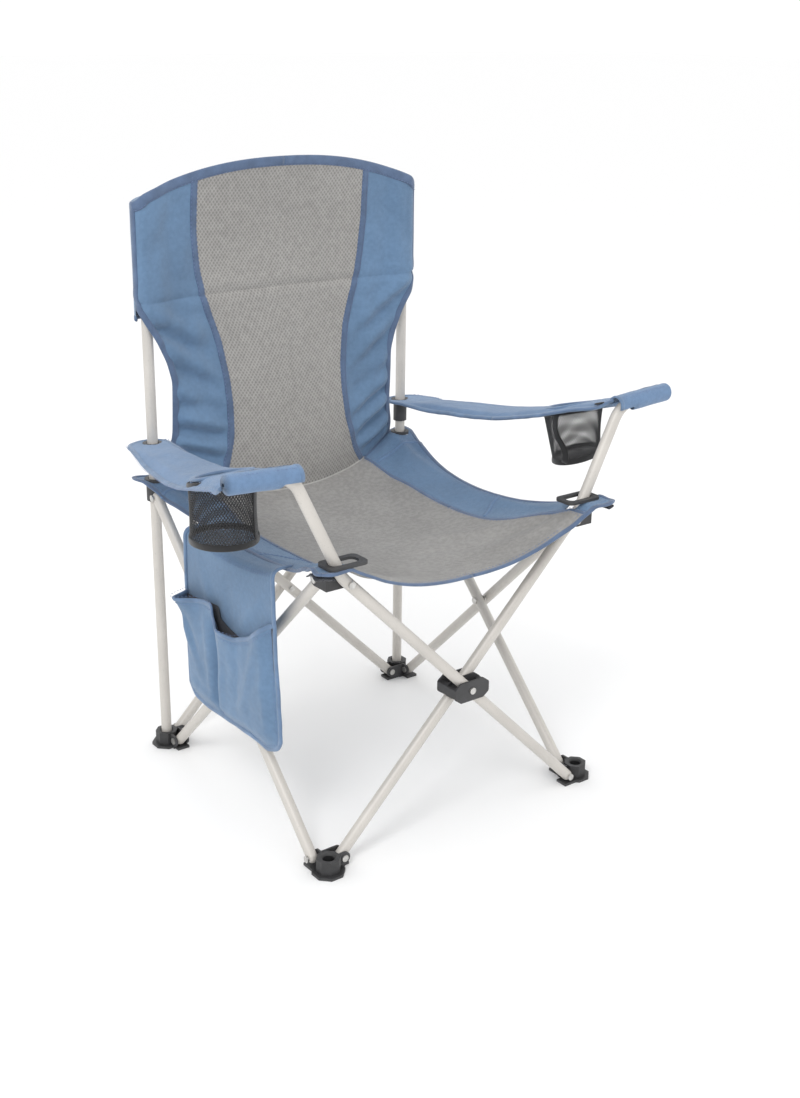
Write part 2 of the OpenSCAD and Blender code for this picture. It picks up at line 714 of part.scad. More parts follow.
front_hub();
hub_rivet();
front_tube_left_arm();
front_tube_right_arm();
side_tube_left_outer();
side_tube_left_inner();
side_tube_right_outer();
side_tube_right_inner();
rear_tube_outer();
rear_tube_inner();
cross_rivet_left();
cross_rivet_right();
cross_rivet_rear();
foot_front_left();
foot_front_right();
foot_rear_left();
foot_rear_right();
foot_rivets_front_left();
foot_rivets_front_right();
foot_rivets_rear_left();
foot_rivets_rear_right();
rear_post_left();
rear_post_right();
post_cap_left();
post_cap_right();
corner_bracket_left();
corner_bracket_right();
corner_rivets_left();
corner_rivets_right();
slider_left();
slider_right();
slider_rivets_left();
slider_rivets_right();
stop_collar_left();
stop_collar_right();
arm_ring_left();
arm_ring_right();
seat_grommet_front_left();
seat_grommet_front_right();
seat_grommet_rear_left();
seat_grommet_rear_right();
seat_front_left();
seat_front_right();
seat_rear_left();
seat_rear_right();
back_panel_left();
back_panel_right();
armrest_front_left();
armrest_front_right();
armrest_rear_left();
armrest_rear_right();
arm_sleeve_left();
arm_sleeve_right();
cup_holder_left();
cup_holder_right();
side_pocket();
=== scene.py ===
"""Looks of a folding camp chair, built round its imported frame. Lengths are in metres."""

import json
import math

import bpy
import numpy as np
from mathutils import Matrix, Vector, noise


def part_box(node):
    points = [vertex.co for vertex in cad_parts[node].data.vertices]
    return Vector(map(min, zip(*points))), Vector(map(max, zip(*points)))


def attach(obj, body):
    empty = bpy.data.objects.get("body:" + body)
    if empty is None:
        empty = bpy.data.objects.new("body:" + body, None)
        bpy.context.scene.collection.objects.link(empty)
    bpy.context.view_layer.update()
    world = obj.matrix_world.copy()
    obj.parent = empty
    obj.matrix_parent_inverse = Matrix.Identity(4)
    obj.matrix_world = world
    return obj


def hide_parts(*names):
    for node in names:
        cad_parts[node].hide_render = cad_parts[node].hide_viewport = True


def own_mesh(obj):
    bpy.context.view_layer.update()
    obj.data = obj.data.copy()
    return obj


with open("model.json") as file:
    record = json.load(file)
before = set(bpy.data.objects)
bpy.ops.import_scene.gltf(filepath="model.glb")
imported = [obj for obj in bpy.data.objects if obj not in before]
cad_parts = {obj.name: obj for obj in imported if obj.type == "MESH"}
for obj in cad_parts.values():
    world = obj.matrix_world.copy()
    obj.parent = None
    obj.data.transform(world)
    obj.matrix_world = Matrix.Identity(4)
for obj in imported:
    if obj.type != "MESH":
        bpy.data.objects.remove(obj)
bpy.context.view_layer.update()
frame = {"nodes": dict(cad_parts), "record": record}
nodes = frame["nodes"]

# ---- sizes taken from the frame --------------------------------------------


def middle(node):
    low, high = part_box(node)
    return (np.array(low) + np.array(high)) / 2


post = middle("rear_post_left")
HALF = abs(post[0])                       # posts and feet stand this far from the middle
TUBE = (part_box("rear_post_left")[1][0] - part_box("rear_post_left")[0][0]) / 2
POST_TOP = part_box("post_cap_left")[1][2]
RING_Z = middle("arm_ring_left")[2]
OUTER = 0.2395                            # axis of a face's outer tube, from the middle
INNER = 0.2205                            # axis of its inner tube
ARM_Y = {-1: -OUTER, 1: -INNER}           # axis of each side's arm tube
SIDES = {-1: "left", 1: "right"}

# ---- camera, light, floor -----------------------------------------------------


def make_camera():
    azimuth, elevation, roll = (math.radians(a) for a in (-37.16, 20.53, 0.78))
    back = Vector((math.sin(azimuth) * math.cos(elevation), -math.cos(azimuth) * math.cos(elevation), math.sin(elevation)))
    right = Vector((math.cos(azimuth), math.sin(azimuth), 0))
    up = back.cross(right)
    target = Vector((0, 0, 0.354)) + right * 0.0476
    across = right * math.cos(roll) + up * math.sin(roll)
    upward = up * math.cos(roll) - right * math.sin(roll)
    data = bpy.data.cameras.new("camera")
    data.sensor_width = 36
    data.lens = 1449.7 * 36 / 1098
    data.clip_start, data.clip_end = 0.05, 50
    camera = bpy.data.objects.new("camera", data)
    bpy.context.scene.collection.objects.link(camera)
    camera.matrix_world = Matrix.Translation(target + back * 2.165) @ Matrix((across, upward, back)).transposed().to_4x4()
    bpy.context.scene.camera = camera


def add_light(name, place, size, power, aim=(0, 0, 0.4), colour=(1, 1, 1)):
    data = bpy.data.lights.new(name, "AREA")
    data.shape, data.size, data.energy, data.color = "DISK", size, power, colour
    light = bpy.data.objects.new(name, data)
    light.location = place
    light.rotation_euler = (Vector(aim) - Vector(place)).to_track_quat("-Z", "Y").to_euler()
    bpy.context.scene.collection.objects.link(light)


def make_stage():
    bpy.context.scene.view_settings.view_transform = "Standard"
    world = bpy.data.worlds.new("studio")
    world.use_nodes = True
    world.node_tree.nodes["Background"].inputs["Color"].default_value = (1, 1, 1, 1)
    world.node_tree.nodes["Background"].inputs["Strength"].default_value = 1.05
    bpy.context.scene.world = world
    add_light("key", (-1.9, -1.2, 2.3), 1.0, 24)
    add_light("fill", (2.2, -1.4, 1.5), 1.8, 3)
    add_light("rim", (0.6, 2.4, 2.2), 1.4, 6)
    bpy.ops.mesh.primitive_plane_add(size=60)
    floor = bpy.context.object
    floor.name = "floor"
    floor.data.materials.append(floor_material())


def floor_material():
    mat, tree, shader = new_material("floor")
    shader.inputs["Base Color"].default_value = (0.95, 0.95, 0.95, 1)
    shader.inputs["Roughness"].default_value = 0.9
    shader.inputs["Specular IOR Level"].default_value = 0.1
    return mat


# ---- materials -------------------------------------------------------------------


def new_material(name):
    mat = bpy.data.materials.new(name)
    mat.use_nodes = True
    return mat, mat.node_tree, mat.node_tree.nodes["Principled BSDF"]


def node(tree, kind, operation=None, **values):
    made = tree.nodes.new("ShaderNode" + kind)
    if operation:
        made.operation = operation
    for key, value in values.items():
        key = int(key[1:]) if key[0] == "_" and key[1:].isdigit() else key.replace("_", " ")
        made.inputs[key].default_value = value
    return made


def chain(tree, kind, operation, *inputs):
    """A maths node whose inputs are sockets or numbers; returns its output."""
    made = tree.nodes.new("ShaderNode" + kind)
    made.operation = operation
    for i, value in enumerate(inputs):
        if isinstance(value, bpy.types.NodeSocket):
            tree.links.new(value, made.inputs[i])
        else:
            made.inputs[i].default_value = value
    return made.outputs[0]


def maths(tree, operation, *inputs):
    return chain(tree, "Math", operation, *inputs)


def mottle(tree, scale, detail=3.0, coordinates="Object"):
    """Soft noise from 0 to 1."""
    place = tree.nodes.new("ShaderNodeTexCoord")
    made = node(tree, "TexNoise", Scale=scale, Detail=detail)
    tree.links.new(place.outputs[coordinates], made.inputs["Vector"])
    return made.outputs["Fac"]


def ramp(tree, value, low, high, colour_a, colour_b):
    """Colours between two values of a socket."""
    made = tree.nodes.new("ShaderNodeValToRGB")
    stops = made.color_ramp.elements
    stops[0].position, stops[1].position = low, high
    stops[0].color, stops[1].color = (*colour_a, 1), (*colour_b, 1)
    tree.links.new(value, made.inputs["Fac"])
    return made.outputs["Color"]


def mixed(tree, kind, factor, a, b):
    made = tree.nodes.new("ShaderNodeMix")
    made.data_type, made.blend_type = "RGBA", kind
    for socket, value in ((made.inputs[0], factor), (made.inputs[6], a), (made.inputs[7], b)):
        if isinstance(value, bpy.types.NodeSocket):
            tree.links.new(value, socket)
        elif isinstance(value, (int, float)):
            socket.default_value = value
        else:
            socket.default_value = (*value, 1)
    return made.outputs[2]


def bump(tree, shader, height, distance, strength=1.0, before=None):
    made = node(tree, "Bump", Strength=strength, Distance=distance)
    tree.links.new(height, made.inputs["Height"])
    if before is not None:
        tree.links.new(before, made.inputs["Normal"])
    tree.links.new(made.outputs["Normal"], shader.inputs["Normal"])
    return made.outputs["Normal"]


def scaled(colour, by):
    return tuple(min(1.0, c * by) for c in colour)


def threads(tree, pitch):
    """Height of a plain weave of that thread pitch, 0 to 1, and the UV axes in threads."""
    place = tree.nodes.new("ShaderNodeUVMap")
    split = tree.nodes.new("ShaderNodeSeparateXYZ")
    tree.links.new(place.outputs["UV"], split.inputs[0])
    u = maths(tree, "MULTIPLY", split.outputs[0], math.pi / pitch)
    v = maths(tree, "MULTIPLY", split.outputs[1], math.pi / pitch)
    warp = maths(tree, "ABSOLUTE", maths(tree, "SINE", u))
    weft = maths(tree, "ABSOLUTE", maths(tree, "SINE", v))
    parity = maths(tree, "MULTIPLY", maths(tree, "SINE", u), maths(tree, "SINE", v))
    over = maths(tree, "GREATER_THAN", parity, 0.0)
    height = maths(tree, "ADD", maths(tree, "MULTIPLY", warp, over),
                   maths(tree, "MULTIPLY", weft, maths(tree, "SUBTRACT", 1.0, over)))
    return height, split


def woven(name, colour, pitch=0.0011, roughness=0.78, contrast=0.10, sheen=0.25):
    """Plain woven polyester with uneven dye, fine threads and soft creases."""
    mat, tree, shader = new_material(name)
    height, _ = threads(tree, pitch)
    base = ramp(tree, mottle(tree, 9, 4), 0.32, 0.70, scaled(colour, 0.90), scaled(colour, 1.08))
    streak = ramp(tree, mottle(tree, 160, 2), 0.35, 0.65, (1 - contrast,) * 3, (1.0,) * 3)
    base = mixed(tree, "MULTIPLY", 1.0, base, streak)
    base = mixed(tree, "MULTIPLY", 0.8, base, ramp(tree, height, 0.0, 0.7, (0.80,) * 3, (1.0,) * 3))
    tree.links.new(base, shader.inputs["Base Color"])
    shader.inputs["Roughness"].default_value = roughness
    shader.inputs["Sheen Weight"].default_value = sheen
    shader.inputs["Sheen Roughness"].default_value = 0.5
    shader.inputs["Specular IOR Level"].default_value = 0.3
    soft = bump(tree, shader, mottle(tree, 55, 4), 0.0009, 0.35)
    bump(tree, shader, height, 0.00025, 0.55, soft)
    return mat


def leno(name, colour, across=0.0062, along=0.0078):
    """Ribbed mesh cloth whose threads form small upright diamonds with an open middle."""
    mat, tree, shader = new_material(name)
    fine, split = threads(tree, 0.0013)
    u = maths(tree, "MULTIPLY", split.outputs[0], math.pi / across)
    v = maths(tree, "MULTIPLY", split.outputs[1], math.pi / along)
    one = maths(tree, "ABSOLUTE", maths(tree, "SINE", maths(tree, "ADD", u, v)))
    two = maths(tree, "ABSOLUTE", maths(tree, "SINE", maths(tree, "SUBTRACT", u, v)))
    cell = maths(tree, "MULTIPLY", one, two)           # 1 in the middle of a diamond
    tone = ramp(tree, cell, 0.05, 0.85, scaled(colour, 1.18), scaled(colour, 0.76))
    tone = mixed(tree, "MULTIPLY", 1.0, tone, ramp(tree, mottle(tree, 120, 3), 0.3, 0.7, (0.86,) * 3, (1.04,) * 3))
    tone = mixed(tree, "MULTIPLY", 1.0, tone, ramp(tree, mottle(tree, 7, 3), 0.3, 0.7, (0.94,) * 3, (1.03,) * 3))
    tone = mixed(tree, "MULTIPLY", 0.7, tone, ramp(tree, fine, 0.0, 0.7, (0.72,) * 3, (1.0,) * 3))
    tree.links.new(tone, shader.inputs["Base Color"])
    shader.inputs["Roughness"].default_value = 0.85
    shader.inputs["Specular IOR Level"].default_value = 0.25
    shader.inputs["Sheen Weight"].default_value = 0.15
    soft = bump(tree, shader, mottle(tree, 45, 4), 0.0008, 0.3)
    ribs = bump(tree, shader, maths(tree, "SUBTRACT", 1.0, cell), 0.0006, 0.6, soft)
    bump(tree, shader, fine, 0.0003, 0.5, ribs)
    return mat


def tape_cloth(name, colour, roughness=0.7):
    """Ribbed grosgrain tape: ribs run across its length."""
    mat, tree, shader = new_material(name)
    place = tree.nodes.new("ShaderNodeUVMap")
    split = tree.nodes.new("ShaderNodeSeparateXYZ")
    tree.links.new(place.outputs["UV"], split.inputs[0])
    rib = maths(tree, "ABSOLUTE", maths(tree, "SINE", maths(tree, "MULTIPLY", split.outputs[1], math.pi / 0.0012)))
    base = ramp(tree, mottle(tree, 60, 4), 0.3, 0.7, scaled(colour, 0.82), scaled(colour, 1.12))
    base = mixed(tree, "MULTIPLY", 0.8, base, ramp(tree, rib, 0.0, 0.6, (0.70,) * 3, (1.0,) * 3))
    tree.links.new(base, shader.inputs["Base Color"])
    shader.inputs["Roughness"].default_value = roughness
    shader.inputs["Sheen Weight"].default_value = 0.3
    shader.inputs["Specular IOR Level"].default_value = 0.3
    bump(tree, shader, rib, 0.0003, 0.7)
    return mat


def powder_coat(name, colour):
    """Satin powder coat with orange peel, faint dirt and rubbed patches."""
    mat, tree, shader = new_material(name)
    base = ramp(tree, mottle(tree, 14, 5), 0.34, 0.72, scaled(colour, 0.94), scaled(colour, 1.05))
    specks = ramp(tree, mottle(tree, 420, 2), 0.28, 0.36, (0.80,) * 3, (1.0,) * 3)
    tree.links.new(mixed(tree, "MULTIPLY", 0.6, base, specks), shader.inputs["Base Color"])
    rough = node(tree, "MapRange", _3=0.36, _4=0.50)
    tree.links.new(mottle(tree, 35, 4), rough.inputs[0])
    tree.links.new(rough.outputs[0], shader.inputs["Roughness"])
    shader.inputs["Metallic"].default_value = 0.12
    shader.inputs["Coat Weight"].default_value = 0.12
    shader.inputs["Coat Roughness"].default_value = 0.35
    bump(tree, shader, mottle(tree, 900, 2), 0.00008, 0.5)
    return mat


def moulded(name, colour, roughness=0.5):
    """Moulded nylon: fine spark-eroded grain, paler on its convex edges, dust in patches."""
    mat, tree, shader = new_material(name)
    geometry = tree.nodes.new("ShaderNodeNewGeometry")
    # paler on convex edges, where pointiness is high
    convex_edges = ramp(tree, geometry.outputs["Pointiness"], 0.50, 0.60, (0.0,) * 3, (1.0,) * 3)
    base = ramp(tree, mottle(tree, 70, 4), 0.35, 0.7, scaled(colour, 0.8), scaled(colour, 1.5))
    base = mixed(tree, "MIX", maths(tree, "MULTIPLY", convex_edges, 0.35), base, scaled(colour, 4.0))
    tree.links.new(base, shader.inputs["Base Color"])
    rough = node(tree, "MapRange", _3=roughness - 0.08, _4=roughness + 0.14)
    tree.links.new(mottle(tree, 50, 4), rough.inputs[0])
    tree.links.new(rough.outputs[0], shader.inputs["Roughness"])
    bump(tree, shader, mottle(tree, 1500, 2), 0.00012, 0.5)
    return mat


def plated(name, colour):
    """Zinc plate: brushed, slightly cloudy metal."""
    mat, tree, shader = new_material(name)
    tree.links.new(ramp(tree, mottle(tree, 220, 4), 0.3, 0.7, scaled(colour, 0.75), scaled(colour, 1.15)), shader.inputs["Base Color"])
    shader.inputs["Metallic"].default_value = 0.9
    rough = node(tree, "MapRange", _3=0.25, _4=0.5)
    tree.links.new(mottle(tree, 300, 3), rough.inputs[0])
    tree.links.new(rough.outputs[0], shader.inputs["Roughness"])
    bump(tree, shader, mottle(tree, 1200, 2), 0.00005, 0.6)
    return mat


make_camera()
make_stage()
BLUE = woven("blue_fabric", (0.140, 0.240, 0.385))
ARM_BLUE = woven("armrest_fabric", (0.150, 0.250, 0.415))
GREY = leno("grey_mesh", (0.362, 0.352, 0.338))
SEAT_GREY = woven("seat_mesh", (0.335, 0.327, 0.316), 0.0026, 0.85, 0.16, 0.10)
JOIN_TAPE = tape_cloth("join_tape", (0.46, 0.45, 0.43))
BINDING = tape_cloth("blue_binding", (0.100, 0.155, 0.265))
ARM_TAPE = tape_cloth("armrest_binding", (0.140, 0.225, 0.365))
BLACK_TAPE = tape_cloth("black_binding", (0.016, 0.016, 0.017))
NET = tape_cloth("black_mesh", (0.022, 0.022, 0.024), 0.55)
# near-black cloth that is painted shade: it darkens the inside of the pocket's pouch and the underside of the seat's
# front corners
SHADE_CLOTH = woven("painted_shade_cloth", (0.020, 0.024, 0.040))
THREAD = tape_cloth("stitch_thread", (0.150, 0.215, 0.400))
GREY_THREAD = tape_cloth("grey_thread", (0.23, 0.22, 0.21))
STEEL = powder_coat("painted_tube", (0.575, 0.548, 0.510))
PLASTIC = moulded("black_plastic", (0.021, 0.021, 0.022))
ZINC = plated("zinc_rivet", (0.60, 0.59, 0.57))
FINISH = {"painted_tube": STEEL, "black_plastic": PLASTIC, "zinc_rivet": ZINC}

for part in frame["record"]["subparts"]:
    if part["material_slot"] in FINISH:
        shown = nodes[part["node"]]
        shown.data.materials.clear()
        shown.data.materials.append(FINISH[part["material_slot"]])

# ---- mesh helpers -----------------------------------------------------------------


def lengths(points, axis):
    """Distance run along one axis of a grid of points."""
    step = np.linalg.norm(np.diff(points, axis=axis), axis=2)
    return np.concatenate([np.zeros_like(np.take(step, [0], axis)), np.cumsum(step, axis)], axis)


def normals_of(points):
    n = np.cross(np.gradient(points, axis=1), np.gradient(points, axis=0))
    return n / np.maximum(np.linalg.norm(n, axis=2, keepdims=True), 1e-12)


def mesh_piece(name, vertices, faces, uvs, material, vertex_normals=None):
    mesh = bpy.data.meshes.new(name)
    mesh.from_pydata([tuple(v) for v in vertices], [], [tuple(int(i) for i in f) for f in faces])
    layer = mesh.uv_layers.new(name="UVMap")
    index = np.empty(len(mesh.loops), int)
    mesh.loops.foreach_get("vertex_index", index)
    layer.data.foreach_set("uv", np.asarray(uvs, np.float32)[index].ravel())
    mesh.polygons.foreach_set("use_smooth", [True] * len(mesh.polygons))
    mesh.materials.append(material)
    if vertex_normals is not None:
        mesh.normals_split_custom_set_from_vertices([tuple(n) for n in vertex_normals])
    made = bpy.data.objects.new(name, mesh)
    bpy.context.scene.collection.objects.link(made)
    return made


def grid_faces(rows, columns, start=0, flip=False):
    i, j = np.meshgrid(np.arange(rows - 1), np.arange(columns - 1), indexing="ij")
    a = (start + i * columns + j).ravel()
    quads = np.stack([a, a + 1, a + columns + 1, a + columns], 1)
    return quads[:, ::-1] if flip else quads


def cloth(name, points, normals, thickness, material, keep=None):
    """A closed sheet of cloth round a grid of points. keep says which of its cells are there."""
    rows, columns = points.shape[:2]
    count = rows * columns
    top = (points + normals * thickness / 2).reshape(-1, 3)
    under = (points - normals * thickness / 2).reshape(-1, 3)
    uv = np.stack([lengths(points, 1), lengths(points, 0)], 2).reshape(-1, 2)
    cells = grid_faces(rows, columns)
    if keep is not None:
        cells = cells[keep.ravel()]
    edges = {}
    for q in cells:
        for a, b in zip(q, np.roll(q, -1)):
            edges[(a, b)] = True
    rim = [(a, b) for a, b in edges if (b, a) not in edges]
    sides = [(b, a, a + count, b + count) for a, b in rim]
    faces = list(cells) + list(cells[:, ::-1] + count) + sides
    flat = normals.reshape(-1, 3)
    return mesh_piece(name, np.concatenate([top, under]), faces, np.concatenate([uv, uv]), material,
                      np.concatenate([flat, -flat]))


def sweep(name, line, across, upward, outline, material, closed=False):
    """A tube of that outline, as (across, upward) pairs, along a line of points."""
    line, across, upward = (np.asarray(x, float) for x in (line, across, upward))
    ring = np.asarray(outline, float)
    vertices = (line[:, None] + across[:, None] * ring[None, :, :1] + upward[:, None] * ring[None, :, 1:])
    n, m = len(line), len(ring)
    girth = np.concatenate([[0], np.cumsum(np.linalg.norm(np.diff(ring, axis=0), axis=1))])
    run = np.concatenate([[0], np.cumsum(np.linalg.norm(np.diff(line, axis=0), axis=1))])
    uv = np.stack(np.broadcast_arrays(girth[None, :], run[:, None]), 2).reshape(-1, 2)
    i, j = np.meshgrid(np.arange(n if closed else n - 1), np.arange(m), indexing="ij")
    a, b = i * m + j, i * m + (j + 1) % m
    c, d = (i + 1) % n * m + (j + 1) % m, (i + 1) % n * m + j
    faces = [tuple(q) for q in np.stack([a, b, c, d], 2).reshape(-1, 4)]
    if not closed:
        faces += [tuple(range(m))[::-1], tuple(range((n - 1) * m, n * m))]
    return mesh_piece(name, vertices.reshape(-1, 3), faces, uv, material)


def band(width, thick, sides=12):
    """Outline of a flat tape with round edges."""
    t = np.arange(sides) * 2 * math.pi / sides
    c, s = np.cos(t), np.sin(t)
    return np.stack([np.sign(c) * np.abs(c) ** 0.6 * width / 2, np.sign(s) * np.abs(s) ** 0.8 * thick / 2], 1)


def resampled(line, step, *others):
    line = np.asarray(line, float)
    run = np.concatenate([[0], np.cumsum(np.linalg.norm(np.diff(line, axis=0), axis=1))])
    at = np.linspace(0, run[-1], max(2, int(round(run[-1] / step)) + 1))
    return [np.stack([np.interp(at, run, np.asarray(x, float)[:, k]) for k in range(3)], 1) for x in (line, *others)]


def unit(v):
    return v / np.maximum(np.linalg.norm(v, axis=-1, keepdims=True), 1e-12)


def tape(name, line, normals, width, thick, material, inward=0.0, closed=False, step=0.005):
    """A tape along a line on a surface, moved sideways by inward."""
    if not closed:
        line, normals = resampled(line, step, normals)
    along = np.gradient(line, axis=0) if not closed else (np.roll(line, -1, 0) - np.roll(line, 1, 0)) / 2
    across = unit(np.cross(unit(along), normals))
    upward = unit(np.cross(across, unit(along)))
    return sweep(name, line + across * inward, across, upward, band(width, thick), material, closed)


def stitches(name, line, normals, offsets, height, material, pitch=0.0058, share=0.62, radius=0.00042):
    """Rows of single stitches beside a seam: short rounded threads that lie on the cloth."""
    line, normals = resampled(line, pitch / 8, normals)
    along = unit(np.gradient(line, axis=0))
    across = unit(np.cross(along, normals))
    vertices, faces, uvs = [], [], []
    angles = np.arange(6) * math.pi / 3
    sizes = ((0.0, 0.35), (0.18, 1.0), (0.82, 1.0), (1.0, 0.35))
    for offset in offsets:
        row = line + across * offset + normals * height
        for start in range(0, len(row) - 8, 8):
            a, b = row[start], row[min(start + int(8 * share), len(row) - 1)]
            base = len(vertices)
            for t, size in sizes:
                centre = a + (b - a) * t - normals[start] * (0.0003 if size < 1 else 0)
                for angle in angles:
                    vertices.append(centre + radius * size * (across[start] * math.cos(angle) + normals[start] * math.sin(angle)))
                    uvs.append((angle * radius, t * 0.004))
            for k in range(3):
                for j in range(6):
                    faces.append((base + k * 6 + j, base + k * 6 + (j + 1) % 6, base + (k + 1) * 6 + (j + 1) % 6, base + (k + 1) * 6 + j))
            faces.append(tuple(base + j for j in range(5, -1, -1)))
            faces.append(tuple(base + 18 + j for j in range(6)))
    return mesh_piece(name, vertices, faces, uvs, material)


sheet_sizes = {}


def declare(piece, points, keep=None):
    """Declares a sheet whose flat cut is what its grid of points unrolls to."""
    width, length = float(lengths(points, 1).max()), float(lengths(points, 0).max())
    a, b, c = points[:-1, :-1], points[:-1, 1:], points[1:, :-1]
    d = points[1:, 1:]
    cell = (np.linalg.norm(np.cross(b - a, c - a), axis=2) + np.linalg.norm(np.cross(b - d, c - d), axis=2)) / 2
    area = float(cell.sum() if keep is None else cell[keep].sum())
    width, length = round(width, 3), round(length, 3)
    area = round(area, 4)
    sheet_sizes[piece.name] = (width, length, area)


def fit(piece, body, squash=None):
    """Rides a piece on its body, and gives it its own copy of its mesh when squash is given."""
    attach(piece, body)
    if squash:
        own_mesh(piece)
    return piece


def folds(a, b, creases):
    """Sum of soft ridges: each is (a0, b0, a1, b1, width, height) in the plane of a and b."""
    total = np.zeros_like(a)
    for a0, b0, a1, b1, width, height in creases:
        d = np.array([a1 - a0, b1 - b0])
        t = np.clip(((a - a0) * d[0] + (b - b0) * d[1]) / (d @ d), 0, 1)
        off = np.hypot(a - a0 - t * d[0], b - b0 - t * d[1])
        total += height * np.exp(-((off / width) ** 2)) * np.sin(math.pi * (0.12 + 0.76 * t))
    return total


def ripple(points, scale, stretch=(1, 1, 1), seed=0.0):
    """Smooth noise from about -1 to 1 at each point."""
    flat = points.reshape(-1, 3) * np.array(stretch) * scale + seed
    return np.array([noise.noise(Vector(p)) for p in flat]).reshape(points.shape[:-1])

# ---- shapes of the seat and the back -------------------------------------------------

REACH = HALF + 0.032                      # how far the seat's corners reach
SIDE_EDGE = HALF - 0.008                  # middle of the side edges
HEM_Y = HALF + 0.014                      # middle of the front hem
SEAM_Y = 0.196                            # middle of the seam between seat and back
CLOTH = 0.0016
MESH_CLOTH = 0.0022
SLING_KEEP = 0.26                         # share of its width that the sling keeps when folded


def smooth(t):
    t = np.clip(t, 0, 1)
    return t * t * (3 - 2 * t)


def curve(at, xs, ys, blur=0.012):
    """Values between listed ones, with the corners rounded."""
    grid = np.linspace(min(xs) - 0.05, max(xs) + 0.05, 400)
    raw = np.interp(grid, xs, ys)
    half = max(1, int(blur / (grid[1] - grid[0])))
    kernel = np.hanning(2 * half + 3)
    padded = np.pad(raw, len(kernel) // 2, mode="edge")
    return np.interp(at, grid, np.convolve(padded, kernel / kernel.sum(), "valid"))


def rise(t):
    return np.minimum(1, np.maximum(t, 0)) ** 2.2


def seat_height(x, y):
    front = y < 0
    side, along = np.abs(x) / 0.211, np.abs(y) / 0.225
    end = np.where(front, 0.389, 0.398)
    spread = np.where(front, 1.0, np.minimum(1, 1.2 - side / 2))
    mid = 0.372 + (end - 0.372) * (np.abs(y) / np.where(front, HEM_Y, SEAM_Y)) ** 2 * spread
    edge = 0.404 + (np.where(front, 0.450, 0.444) - 0.404) * rise(along)
    return mid + (edge - mid) * rise(side)


def seat_seam(y):
    """Half width of the grey mesh on the seat."""
    return curve(y, [-0.27, -0.24, -0.2, -0.16, -0.127, -0.092, -0.027, 0.099, 0.19, 0.27],
                 [0.197, 0.197, 0.194, 0.184, 0.171, 0.160, 0.156, 0.157, 0.148, 0.142], 0.02)


def round_corner(x, y, reach, radius):
    a, b = (np.abs(x) - reach + radius) / radius, (np.abs(y) - reach + radius) / radius
    inside = (a > 0) & (b > 0)
    a2 = np.where(inside, a * np.sqrt(np.maximum(0, 1 - np.minimum(b, 1) ** 2 / 2)), a)
    b2 = np.where(inside, b * np.sqrt(np.maximum(0, 1 - np.minimum(a, 1) ** 2 / 2)), b)
    return (np.sign(x) * (reach - radius + a2 * radius), np.sign(y) * (reach - radius + b2 * radius))


def punch(points, centre, half_length, radius):
    """Opens a slot or round hole seen from above; returns the moved points and the cells kept."""
    def off(p):
        along = np.clip(p[..., 0] - centre[0], -half_length, half_length)
        return np.stack([p[..., 0] - centre[0] - along, p[..., 1] - centre[1]], -1)
    cells = (points[:-1, :-1] + points[1:, :-1] + points[:-1, 1:] + points[1:, 1:]) / 4
    keep = np.linalg.norm(off(cells), axis=-1) > radius
    d = off(points)
    far = np.linalg.norm(d, axis=-1, keepdims=True)
    moved = points.copy()
    push = np.where((far < radius) & (far > 1e-6), d / np.maximum(far, 1e-6) * (radius - far), 0)
    moved[..., :2] += push
    return moved, keep


def on_grid(grid, path):
    """Points at fractional (row, column) places of a grid."""
    path = np.asarray(path, float)
    r = np.clip(path[:, 0], 0, grid.shape[0] - 1.001)
    c = np.clip(path[:, 1], 0, grid.shape[1] - 1.001)
    i, j = r.astype(int), c.astype(int)
    fr, fc = (r - i)[:, None], (c - j)[:, None]
    return ((grid[i, j] * (1 - fc) + grid[i, j + 1] * fc) * (1 - fr)
            + (grid[i + 1, j] * (1 - fc) + grid[i + 1, j + 1] * fc) * fr)


GREY_COLUMNS, BLUE_COLUMNS, SEAT_ROWS = 34, 22, 54


def columns():
    """Across the sling: 0 at the middle, 1 at the seam of the mesh, 2 at the outer edge."""
    blue = np.sin(np.linspace(0, 1, BLUE_COLUMNS + 1) * math.pi / 2) ** 0.85
    half = np.concatenate([np.linspace(0, 1, GREY_COLUMNS + 1), 1 + blue[1:]])
    return np.concatenate([-half[:0:-1], half])


